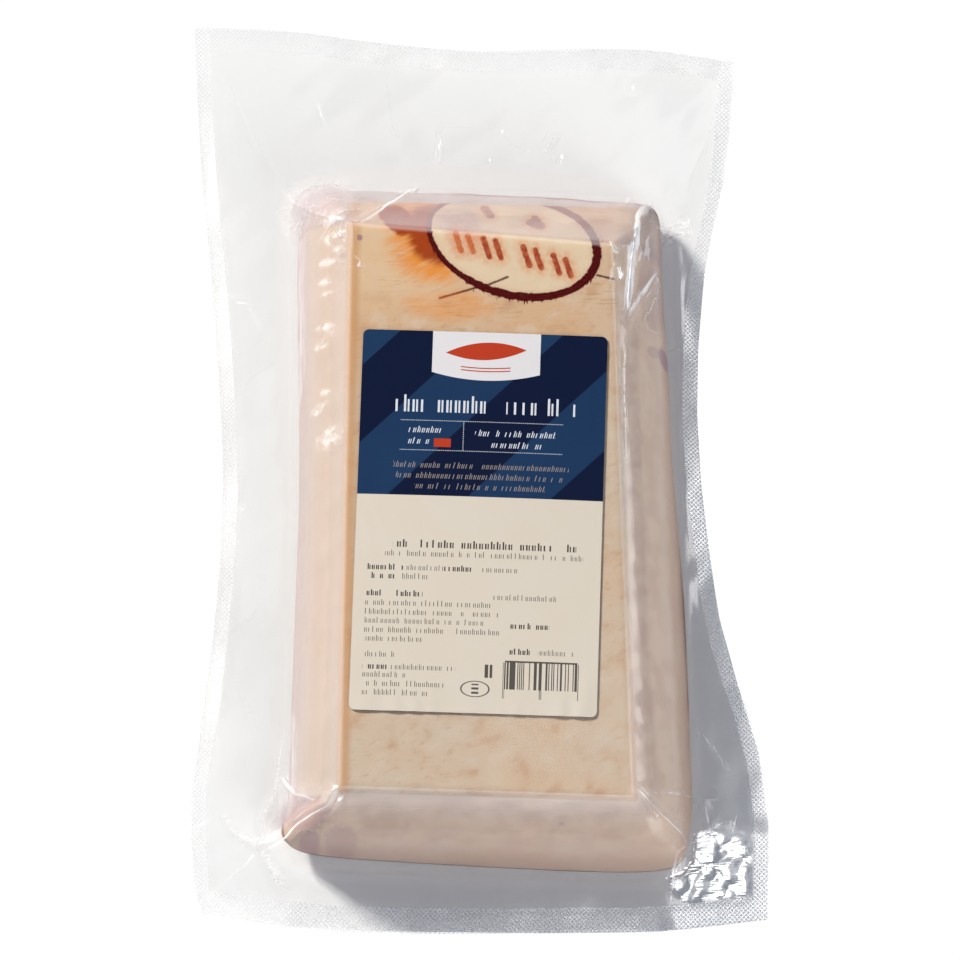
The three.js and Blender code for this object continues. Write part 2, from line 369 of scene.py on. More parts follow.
@dataclass(frozen=True)
class PouchForm:
    """The pouch's plan and heights, seen from above: edges, flat top and foot of the sides."""

    left_edge: SmoothLine = SmoothLine((
        (-157, -93.5), (-147, -96.5), (-112, -97.8), (-80, -93.4), (-13, -88.2), (59, -92),
        (110, -97), (163, -100)))
    right_edge: SmoothLine = SmoothLine((
        (-158, 99.4), (-118, 99.7), (-92, 95.2), (-64, 86.4), (-38, 81.8), (15, 77), (66, 79.2),
        (108, 87.2), (151, 91.3)))
    front_edge: SmoothLine = SmoothLine((
        (-94, -156.3), (-60, -161.1), (-16, -162.6), (59, -162.5), (99.4, -158.4)))
    back_edge: SmoothLine = SmoothLine((
        (-100, 163), (-64, 161.4), (-24, 156.6), (4, 154), (60, 155), (91.3, 150.5)))
    top_back_left: Point = (-43.2, 79.0)
    top_back_right: Point = (46.6, 71.5)
    top_front_right: Point = (52.6, -122.7)
    top_front_left: Point = (-46.0, -119.4)
    foot_back_left: Point = (-66.0, 104.0)
    foot_back_right: Point = (69.5, 100.0)
    foot_front_right: Point = (77.5, -147.0)
    foot_front_left: Point = (-67.5, -142.5)
    foot_waist: float = 2.5
    top_height: float = 40.0
    top_crown: float = 1.4
    top_sag: float = 0.9
    foot_height: float = 9.5
    edge_height: float = 4.6
    flange_wave: float = 1.7
    wave_length: float = 118.0
    wave_slant: float = 0.8
    short_wave: float = 0.55
    short_slant: float = 0.6
    short_share: float = 0.5
    flange_fall: float = 0.7
    crown_width: float = 110.0
    crown_length: float = 210.0
    crown_middle: float = -24.0
    sag_power: float = 4.0
    side_slant: float = 0.28
    side_bulge: float = 2.3
    fillet_start: float = 0.78
    corner_power: float = 3.6
    base_share: float = 0.5
    base_curl: float = 2.3

    def _foot_side(self, a: Point, b: Point, y: Array, inwards: float) -> Array:
        """x of a long side of the foot, bowed inwards at its middle."""
        t = np.clip((y - a[1]) / (b[1] - a[1]), 0.0, 1.0)
        return on_line(a, b, y, 1) + inwards * self.foot_waist * np.sin(math.pi * t)

    def columns(self, y: Array) -> Array:
        """x of the long lines at each y: edge, foot, rim, rim, foot, edge."""
        return np.stack([
            self.left_edge.at(y),
            self._foot_side(self.foot_front_left, self.foot_back_left, y, 1.0),
            on_line(self.top_front_left, self.top_back_left, y, 1),
            on_line(self.top_front_right, self.top_back_right, y, 1),
            self._foot_side(self.foot_front_right, self.foot_back_right, y, -1.0),
            self.right_edge.at(y),
        ])

    def rows(self, x: Array) -> Array:
        """y of the cross lines at each x: edge, foot, rim, rim, foot, edge."""
        return np.stack([
            self.front_edge.at(x),
            on_line(self.foot_front_left, self.foot_front_right, x, 0),
            on_line(self.top_front_left, self.top_front_right, x, 0),
            on_line(self.top_back_left, self.top_back_right, x, 0),
            on_line(self.foot_back_left, self.foot_back_right, x, 0),
            self.back_edge.at(x),
        ])

    @staticmethod
    def _band_in(lines: Array, value: Array) -> Array:
        """0 on the top, 1 at the foot of the side and 2 at the edge, in one direction."""
        low = value < (lines[2] + lines[3]) / 2
        edge, foot, rim = (np.where(low, lines[k], lines[5 - k]) for k in range(3))
        side = (value - rim) / (foot - rim)
        return np.where(side <= 1, np.maximum(side, 0.0), 1 + (value - foot) / (edge - foot))

    def band(self, x: Array, y: Array) -> Array:
        """The same for both directions together, rounding the corners."""
        out_x = self._band_in(self.columns(y), x)
        out_y = self._band_in(self.rows(x), y)
        both = np.maximum(out_x, 0) ** self.corner_power + np.maximum(out_y, 0) ** self.corner_power
        return np.minimum(both ** (1 / self.corner_power), 2.0)

    def inset(self, x: Array, y: Array) -> Array:
        """Distance inside the flat top's rim, negative outside it."""
        columns, rows = self.columns(y), self.rows(x)
        return np.minimum(np.minimum(x - columns[2], columns[3] - x),
                          np.minimum(y - rows[2], rows[3] - y))

    def flange(self, x: Array, y: Array, out: Array) -> Array:
        """Height of the flange, out from 0 at the foot to 1 at the edge."""
        turn = 2 * math.pi / self.wave_length
        long = np.sin(turn * (x + self.wave_slant * y))
        short = np.sin(turn / self.short_wave * (y - self.short_slant * x))
        wave = (long + self.short_share * short) / (1 + self.short_share)
        fall = lerp(self.foot_height, self.edge_height, out ** self.flange_fall)
        return fall + self.flange_wave * out * wave

    def crown(self, x: Array, y: Array) -> Array:
        """Height of the flat top, crowned across with a shallow hollow in its length."""
        from_middle = (y - self.crown_middle) / self.crown_length
        across = np.cos(math.pi * np.clip(x / self.crown_width, -0.5, 0.5))
        along = np.cos(math.pi * np.clip(from_middle, -0.5, 0.5))
        return self.top_height + self.top_crown * across * along - self.top_sag * along ** self.sag_power

    def drop(self, out: Array) -> Array:
        """How much of a side's drop is done: slant, bulge and a hollow fillet at the foot."""
        at = np.minimum(out, self.fillet_start)
        slant, bulge = self.side_slant, 1 - self.side_slant
        reached = slant * at + bulge * at ** self.side_bulge
        steep = slant + bulge * self.side_bulge * at ** (self.side_bulge - 1)
        run = 1 - self.fillet_start
        t = np.clip((out - self.fillet_start) / run, 0.0, 1.0)
        left = (1 - t) ** 2
        return reached * left * (1 + 2 * t) + steep * run * t * left + t * t * (3 - 2 * t)

    def top(self, x: Array, y: Array) -> Array:
        """The upper film's height without its creases."""
        out = self.band(x, y)
        flange = self.flange(x, y, np.clip(out - 1, 0.0, 1.0))
        return lerp(self.crown(x, y), flange, self.drop(out))

    def rise(self, out: Array) -> Array:
        """How far the lower film has risen from the table to the upper one."""
        return np.clip((out - self.base_share) / (1 - self.base_share), 0.0, 1.0) ** self.base_curl


FORM = PouchForm()


# ---- meshes ----


def select_only(obj: bpy.types.Object) -> None:
    """Makes one object the selected and active one."""
    bpy.ops.object.select_all(action="DESELECT")
    obj.select_set(True)
    bpy.context.view_layer.objects.active = obj


def points_of(obj: bpy.types.Object) -> Array:
    """A mesh's points, one row each, in its own units."""
    flat = np.empty(len(obj.data.vertices) * 3)
    obj.data.vertices.foreach_get("co", flat)
    return flat.reshape(-1, 3)


def set_points(obj: bpy.types.Object, points: Array) -> None:
    """Moves a mesh's points, given in its own units."""
    obj.data.vertices.foreach_set("co", points.ravel())
    obj.data.update()


def set_attribute(obj: bpy.types.Object, name: str, values: Array) -> None:
    """Stores one number for each of a mesh's points."""
    attribute = obj.data.attributes.new(name, "FLOAT", "POINT")
    attribute.data.foreach_set("value", values.astype(np.float32))


def add_grid(name: str, columns: int, rows: int) -> tuple[bpy.types.Object, Array, Array]:
    """Adds a flat grid.

    Args:
        name: Name of the object.
        columns: Cells across.
        rows: Cells along.

    Returns:
        The object, and each point's column and row number.
    """
    bpy.ops.object.select_all(action="DESELECT")
    bpy.ops.mesh.primitive_grid_add(x_subdivisions=columns, y_subdivisions=rows, size=1)
    obj = bpy.context.object
    obj.name = obj.data.name = name
    points = points_of(obj)
    column = np.rint((points[:, 0] + 0.5) * columns).astype(int)
    row = np.rint((points[:, 1] + 0.5) * rows).astype(int)
    return obj, column, row


def on_outline(column: Array, row: Array) -> Array:
    """Whether each of a grid's points lies on its outline."""
    return (column == 0) | (column == column.max()) | (row == 0) | (row == row.max())


def add_underside(obj: bpy.types.Object, heights: Array) -> None:
    """Closes a sheet with a copy of itself that faces down and shares its outline.

    Args:
        obj: The upper sheet, in metres.
        heights: The copy's height at each point, equal to the sheet's along the outline.
    """
    select_only(obj)
    bpy.ops.object.duplicate()
    under = bpy.context.object
    points = points_of(under)
    points[:, 2] = heights * MM
    set_points(under, points)
    bpy.ops.object.mode_set(mode="EDIT")
    bpy.ops.mesh.select_all(action="SELECT")
    bpy.ops.mesh.flip_normals()
    bpy.ops.object.mode_set(mode="OBJECT")
    obj.select_set(True)
    bpy.context.view_layer.objects.active = obj
    bpy.ops.object.join()
    bpy.ops.object.mode_set(mode="EDIT")
    bpy.ops.mesh.select_all(action="SELECT")
    bpy.ops.mesh.remove_doubles(threshold=MERGE_DISTANCE)
    bpy.ops.object.mode_set(mode="OBJECT")


def smooth_faces(obj: bpy.types.Object, angle: float) -> None:
    """Shades a mesh smooth, except over edges sharper than an angle in degrees."""
    select_only(obj)
    bpy.ops.object.shade_smooth_by_angle(angle=math.radians(angle))


# ---- shader maths ----


Number: TypeAlias = Union["Value", float]


def math_method(operation: str, meaning: str, swapped: bool = False) -> Callable[..., "Value"]:
    """A method of Value that adds one Math node.

    Args:
        operation: The node's operation.
        meaning: The method's docstring.
        swapped: Whether the value comes after the other number.

    Returns:
        The method.
    """
    def method(self: "Value", *others: Number) -> "Value":
        """Adds the node on this value and the others."""
        inputs = dict(enumerate((*others, self) if swapped else (self, *others)))
        return self.shader.value("ShaderNodeMath", {"operation": operation}, inputs)

    method.__doc__ = meaning
    return method


class Value:
    """A number that varies over a surface, with Python's arithmetic."""

    def __init__(self, shader: "Shader", socket: Socket) -> None:
        """Wraps an output socket of a shader's node."""
        self.shader = shader
        self.socket = socket

    __add__ = __radd__ = math_method("ADD", "This plus the other.")
    __sub__ = math_method("SUBTRACT", "This less the other.")
    __rsub__ = math_method("SUBTRACT", "The other less this.", swapped=True)
    __mul__ = __rmul__ = math_method("MULTIPLY", "This times the other.")
    __truediv__ = math_method("DIVIDE", "This over the other.")
    __rtruediv__ = math_method("DIVIDE", "The other over this.", swapped=True)
    __pow__ = math_method("POWER", "This to a power.")
    __abs__ = math_method("ABSOLUTE", "This without its sign.")
    sqrt = math_method("SQRT", "Square root.")
    sin = math_method("SINE", "Sine of an angle in radians.")
    floor = math_method("FLOOR", "Whole part.")
    fract = math_method("FRACT", "What is left past the whole part.")
    least = math_method("MINIMUM", "The smaller of the two.")
    most = math_method("MAXIMUM", "The larger of the two.")
    above = math_method("GREATER_THAN", "1 where this is larger than the other, else 0.")

    def __neg__(self) -> "Value":
        """This with its sign turned."""
        return self * -1.0

    def within(self, low: Number, high: Number) -> "Value":
        """1 between two bounds, else 0."""
        return self.above(low) * (1.0 - self.above(high))

    def ease(self, low: Number, high: Number) -> "Value":
        """Smooth step from 0 at low to 1 at high, where low may be the larger."""
        settings = {"interpolation_type": "SMOOTHSTEP"}
        return self.shader.value("ShaderNodeMapRange", settings, {0: self, 1: low, 2: high})


class Tint:
    """A colour that varies over a surface."""

    def __init__(self, shader: "Shader", socket: Socket) -> None:
        """Wraps an output socket of a shader's node."""
        self.shader = shader
        self.socket = socket

    def over(self, factor: Number, colour: Union["Tint", Colour]) -> "Tint":
        """This with another colour laid over it by a factor."""
        return self.shader.mix(factor, self, colour)


Paint: TypeAlias = Union[Tint, Colour]
Segment: TypeAlias = tuple[Point, Point]
Oval: TypeAlias = tuple[Point, Point]


class Shader:
    """A material's node tree, built by expressions on its sockets."""

    def __init__(self, name: str) -> None:
        """Makes a material with an empty tree and its output."""
        self.material = bpy.data.materials.new(name)
        self.material.use_nodes = True
        self.tree = self.material.node_tree
        self.tree.nodes.clear()
        self.output = self.tree.nodes.new("ShaderNodeOutputMaterial")

    def node(self, kind: str, settings: dict[str, Any] | None = None,
             inputs: dict[int | str, Any] | None = None) -> bpy.types.Node:
        """Adds a node.

        Args:
            kind: The node's type.
            settings: Its properties, set before its sockets; "stops" are a ramp's stops.
            inputs: Numbers, colours, wrapped sockets or sockets, by socket name or number.

        Returns:
            The node.
        """
        node = self.tree.nodes.new(kind)
        for name, value in (settings or {}).items():
            if name == "stops":
                ramp = node.color_ramp
                while len(ramp.elements) < len(value):
                    ramp.elements.new(1.0)
                for element, (position, colour) in zip(ramp.elements, value):
                    element.position = position
                    element.color = (*colour, 1.0)
            else:
                setattr(node, name, value)
        for key, value in (inputs or {}).items():
            if isinstance(value, (Value, Tint)):
                self.tree.links.new(value.socket, node.inputs[key])
            elif isinstance(value, Socket):
                self.tree.links.new(value, node.inputs[key])
            elif isinstance(value, tuple) and len(value) == 3 and node.inputs[key].type == "RGBA":
                node.inputs[key].default_value = (*value, 1.0)
            else:
                node.inputs[key].default_value = value
        return node

    def value(self, kind: str, settings: dict[str, Any], inputs: dict[int | str, Any],
              output: int | str = 0) -> Value:
        """Adds a node and wraps one of its outputs as a number."""
        return Value(self, self.node(kind, settings, inputs).outputs[output])

    def mix(self, factor: Number, first: Paint, second: Paint) -> Tint:
        """Mixes two colours.

        Args:
            factor: 0 for the first colour, 1 for the second.
            first: A colour or a varying one.
            second: A colour or a varying one.

        Returns:
            The mixed colour.
        """
        inputs = {0: factor, 6: first, 7: second}
        node = self.node("ShaderNodeMix", {"data_type": "RGBA"}, inputs)
        return Tint(self, node.outputs[2])

    @cached_property
    def place(self) -> Socket:
        """The piece's own coordinates in millimetres, as a vector."""
        own = self.node("ShaderNodeTexCoord").outputs["Object"]
        scaled = self.node("ShaderNodeVectorMath", {"operation": "SCALE"}, {0: own, "Scale": 1 / MM})
        return scaled.outputs[0]

    @cached_property
    def axes(self) -> tuple[Value, Value, Value]:
        """The same coordinates as three numbers."""
        return self.split(self.place)

    def split(self, vector: Socket) -> tuple[Value, Value, Value]:
        """The three numbers of a vector or colour."""
        node = self.node("ShaderNodeSeparateXYZ", None, {0: vector})
        return tuple(Value(self, output) for output in node.outputs)

    def vector(self, x: Number, y: Number, z: Number = 0.0) -> Socket:
        """A vector of three numbers."""
        return self.node("ShaderNodeCombineXYZ", None, {0: x, 1: y, 2: z}).outputs[0]

    def attribute(self, name: str) -> Value:
        """A number stored at the mesh's points."""
        return self.value("ShaderNodeAttribute", {"attribute_name": name}, {}, "Fac")

    def noise(self, size: float, detail: float = 3.0, stretch: Colour = (1.0, 1.0, 1.0),
              turn: float = 0.0, place: Socket | None = None) -> Value:
        """Cloudy noise.

        Args:
            size: Size of its largest clouds.
            detail: Octaves of finer clouds.
            stretch: How many times longer the clouds are along each axis.
            turn: How far the axes are turned about Z, in degrees.
            place: Where to read it, the piece's own coordinates if left out.

        Returns:
            A number from 0 to 1, mostly near a half.
        """
        fit = {"Vector": self.place if place is None else place,
               "Rotation": (0.0, 0.0, math.radians(turn)),
               "Scale": tuple(size * s for s in stretch)}
        fitted = self.node("ShaderNodeMapping", {"vector_type": "TEXTURE"}, fit).outputs[0]
        inputs = {"Vector": fitted, "Scale": 1.0, "Detail": detail, "Roughness": NOISE_ROUGHNESS}
        return self.value("ShaderNodeTexNoise", {}, inputs, "Fac")

    def to_segment(self, x: Value, y: Value, segment: Segment) -> Value:
        """Distance to a straight stroke.

        Args:
            x: Place across.
            y: Place along.
            segment: The stroke's two ends.

        Returns:
            The distance from each place.
        """
        (ax, ay), (bx, by) = segment
        dx, dy = bx - ax, by - ay
        length = dx * dx + dy * dy
        along = ((x - ax) * (dx / length) + (y - ay) * (dy / length)).most(0.0).least(1.0)
        off_x, off_y = x - ax - along * dx, y - ay - along * dy
        return (off_x * off_x + off_y * off_y).sqrt()

    def bump(self, height: Value, distance: float, strength: float) -> Socket:
        """Normals of a low relief, its height given in millimetres."""
        inputs = {"Height": height, "Distance": distance * MM, "Strength": strength}
        return self.node("ShaderNodeBump", None, inputs).outputs[0]

    def principled(self, inputs: dict[int | str, Any]) -> Socket:
        """Adds a Principled shader with the given sockets."""
        return self.node("ShaderNodeBsdfPrincipled", None, inputs).outputs[0]

    def finish(self, surface: Socket) -> bpy.types.Material:
        """Links the surface to the output and hands over the material."""
        self.tree.links.new(surface, self.output.inputs["Surface"])
        return self.material


def oval(x: Value, y: Value, centre: Point, reach: Point) -> Value:
    """Distance from an oval's centre, 1 on its outline."""
    off_x, off_y = (x - centre[0]) / reach[0], (y - centre[1]) / reach[1]
    return (off_x * off_x + off_y * off_y).sqrt()


def cloud(x: Value, y: Value, centre: Point, reach: Point) -> Value:
    """A soft oval patch, 1 at its centre and 0 past its reach."""
    return oval(x, y, centre, reach).ease(1.0, 0.25)


# ---- the film ----


@dataclass(frozen=True)
class FilmFinish:
    """Thick clear film: see-through, glossy, and milky where it isn't drawn on to the rind."""

    haze_colour: Colour = rgb("f2eeee")
    haze_roughness: float = 0.6
    tint: Colour = (0.966, 0.967, 0.969)
    shoulder_haze: float = 0.16
    slope_haze: float = 0.11
    flange_haze: float = 0.02
    weld_haze: float = 0.03
    hatch_haze: float = 0.09
    hatch_gloss: float = 0.24
    fillet_gloss: float = 0.08
    lump_painted_highlight: float = 0.5
    gathered_colour: Colour = rgb("beb2b5")
    front_shoulder_painted_light: float = 0.16
    web_haze: float = 0.62
    corner_haze: float = 0.34
    front_weld: float = 8.5
    side_weld: float = 5.2
    back_weld: float = 8.0
    hatch_pitch: float = 1.12
    head_on_gloss: float = 0.045
    contact_gloss_roughness: float = 0.10
    free_gloss_roughness: float = 0.16
    left_gloss_roughness: float = 0.06
    crumple_smoothness: float = 0.09
    weld_gloss_roughness: float = 0.34
    slope_gloss_roughness: float = 0.15
    crest_gloss_roughness: float = 0.15
    crest_gloss: float = 0.28
    contact_gloss: float = 0.12
    crumple_gloss: float = 0.22
    most_haze: float = 0.9
    cloud_size: float = 16.0
    slope_start: Point = (0.01, 0.09)
    slope_end: Point = (0.85, 1.12)
    free_start: Point = (0.9, 1.1)
    shoulder_start: Point = (0.5, 0.04)
    drawn_on_end: Point = (0.0, 0.12)
    fillet_start: Point = (0.66, 0.80)
    fillet_end: Point = (1.25, 1.05)
    front_rim: Point = (-119.0, -124.0)
    left_flange: Point = (-62.0, -70.0)
    gathered_patch: Oval = ((-54.0, 93.0), (18.0, 16.0))
    corner_patch: Oval = ((-62.0, -125.0), (15.0, 13.0))
    hatch_relief: float = 0.014
    wave_relief: float = 0.12
    calm_on_rind: float = 0.8
    gathered_dullness: float = 0.85
    relief_strength: float = 0.7
    fresnel_power: float = 5.0

    def build(self) -> bpy.types.Material:
        """Builds the film's material.

        Returns:
            The material.
        """
        s = Shader("clear_film")
        x, y, _ = s.axes
        band, crumpled = s.attribute("band"), s.attribute("crumpled")
        weld, hatch = self._weld(s), self._hatch(x, y)
        lines, streaks, crest = self._lines(s)
        slope = band.ease(*self.slope_start) * (1.0 - band.ease(*self.slope_end))
        haze = self._plain_haze(s, band, slope)
        haze = haze + weld * (self.weld_haze + hatch * self.hatch_haze) + lines
        # Painted highlights: milky ovals over the left side's lumps stand in for the glints of a low lamp.
        shine = s.noise(2.4, 1.0, (2.2, 1.0, 1.0), 12.0).ease(0.34, 0.62)
        lumps = s.attribute("lumps").ease(0.25, 1.0) * shine
        gathered = cloud(x, y, *self.gathered_patch) * x.ease(-40.5, -47.0) * y.ease(76.0, 86.0)
        corner = cloud(x, y, *self.corner_patch) * (y - x * 0.5 + 95.5).ease(-0.5, 3.0)
        haze = haze + corner * self.corner_haze
        haze = haze + gathered * self._web(s) * self.web_haze
        haze = (haze + lumps * self.lump_painted_highlight).least(self.most_haze)
        drawn_on = 1.0 - band.ease(*self.drawn_on_end)
        waves = s.noise(5.0, 2.0, (1.0, 2.4, 1.0)) * self.wave_relief * (1.0 - weld)
        waves = waves * (1.0 - drawn_on * self.calm_on_rind)
        embossed = weld * hatch * self.hatch_relief
        relief = embossed + waves + streaks + crumpled * self._wrinkles(s)
        normal = s.bump(relief, 1.0, self.relief_strength)
        milk = s.mix(gathered.most(corner), self.haze_colour, self.gathered_colour)
        milky = s.principled({"Base Color": milk, "Roughness": self.haze_roughness,
                              "Specular IOR Level": 0.0})
        clear = s.node("ShaderNodeBsdfTransparent", None, {"Color": self.tint}).outputs[0]
        sheet = s.node("ShaderNodeMixShader", None, {0: haze, 1: clear, 2: milky}).outputs[0]
        facing = s.value("ShaderNodeLayerWeight", {}, {"Blend": 0.5, "Normal": normal}, "Facing")
        grazing = facing ** self.fresnel_power
        gloss_share = self.head_on_gloss + grazing * (1 - self.head_on_gloss)
        gloss_share = gloss_share * (1.0 - drawn_on * (1 - self.contact_gloss))
        gloss_share = gloss_share + crumpled * self.crumple_gloss + weld * hatch * self.hatch_gloss
        gloss_share = gloss_share + crest * self.crest_gloss
        fillet = band.ease(*self.fillet_start) * band.ease(*self.fillet_end) * (1.0 - crumpled)
        gloss_share = gloss_share * (1.0 - fillet * (1.0 - self.fillet_gloss))
        gloss_share = gloss_share * (1.0 - gathered * self.gathered_dullness)
        roughness = self._plain_roughness(x, slope, drawn_on, weld)
        roughness = roughness + crest * self.crest_gloss_roughness
        roughness = roughness - crumpled * self.crumple_smoothness
        gloss = s.node("ShaderNodeBsdfGlossy", None,
                       {"Color": (1.0, 1.0, 1.0), "Roughness": roughness, "Normal": normal})
        inputs = {0: gloss_share, 1: sheet, 2: gloss.outputs[0]}
        return s.finish(s.node("ShaderNodeMixShader", None, inputs).outputs[0])

    def _plain_haze(self, s: Shader, band: Value, slope: Value) -> Value:
        """Haze of the sides, of the rim above them and of the flange."""
        cloudy = s.noise(self.cloud_size, 1.0)
        # Painted light: extra milky haze brightens the upper front side near the rim, as an overhead lamp
        # would.
        front = s.axes[1].ease(*self.front_rim)
        near_rim = self.shoulder_haze + front * self.front_shoulder_painted_light
        near_rim = band.ease(*self.shoulder_start) * near_rim
        haze = slope * (self.slope_haze * (0.6 + cloudy * 0.8) + near_rim)
        flange = self.flange_haze * 0.4 + cloudy * self.flange_haze * 1.2
        return haze + band.ease(*self.free_start) * flange

    def _plain_roughness(self, x: Value, slope: Value, drawn_on: Value, weld: Value) -> Value:
        """Roughness of the gloss without the crests and the crumpled corner."""
        roughness = self.free_gloss_roughness
        for where, there in ((slope, self.slope_gloss_roughness),
                             (drawn_on, self.contact_gloss_roughness),
                             (weld, self.weld_gloss_roughness)):
            roughness = roughness + where * (there - self.free_gloss_roughness)
        return roughness + x.ease(*self.left_flange) * self.left_gloss_roughness

    def _hatch(self, x: Value, y: Value) -> Value:
        """Crossed lines pressed into the welds by the sealing bar."""
        turn = math.pi / (self.hatch_pitch * math.sqrt(2))
        crossed = abs(((x + y) * turn).sin()).most(abs(((x - y) * turn).sin())).ease(0.8, 1.0)
        return crossed * (0.3 + x.ease(-72.0, -50.0) * 0.7)

    @staticmethod
    def _web(s: Shader) -> Value:
        """Haze with a net of fine milky lines in it, where the spare film gathers."""
        net = abs(s.noise(7.0, 1.0, (1.0, 0.6, 1.0), 35.0) - 0.5).ease(0.03, 0.004)
        return 0.75 + net * 0.4

    @staticmethod
    def _wrinkles(s: Shader) -> Value:
        """Height of the small sharp wrinkles in the crumpled corner."""
        flat = abs(s.noise(1.5, 1.0, (7.0, 1.0, 1.0), 4.0) - 0.5)
        folded = abs(s.noise(9.0, 1.0, (1.0, 1.0, 1.0), 20.0) - 0.5)
        return flat * 0.4 + folded * 1.2

    @staticmethod
    def _lines(s: Shader) -> tuple[Value, Value, Value]:
        """Thin milky lines and fine folds beside the creases.

        Args:
            s: The film's shader.

        Returns:
            Haze of the lines, height of the folds and how far each place is a crest.
        """
        off, power = s.attribute("crease_off"), s.attribute("crease_power")
        beside = s.vector(off, s.attribute("crease_run") * 0.07)
        fine = s.noise(0.8, 2.0, place=beside)
        near = abs(off).ease(3.4, 0.3)
        thin = fine.ease(0.60, 0.68) * near
        along = s.vector(s.attribute("crease_run") * 0.5, 0.0)
        dashed = s.noise(1.0, 1.0, place=along).ease(0.42, 0.56)
        crest = abs(off + (fine - 0.5) * 1.6).ease(0.42, 0.12) * dashed.most(power.ease(0.35, 0.5))
        rim = abs(s.attribute("rim_off")).ease(1.1, 0.2) * 0.2
        haze = (crest.most(thin * 0.7) * power * 0.9).most(rim)
        return haze, fine * near * power * 0.9, crest * power

    def _weld(self, s: Shader) -> Value:
        """1 in the welded bands along the edges, else 0."""
        bands = [("from_side", self.side_weld), ("from_front", self.front_weld),
                 ("from_back", self.back_weld)]
        masks = [s.attribute(name).ease(width + 0.25, width - 0.25) for name, width in bands]
        return masks[0].most(masks[1]).most(masks[2] * 0.4)


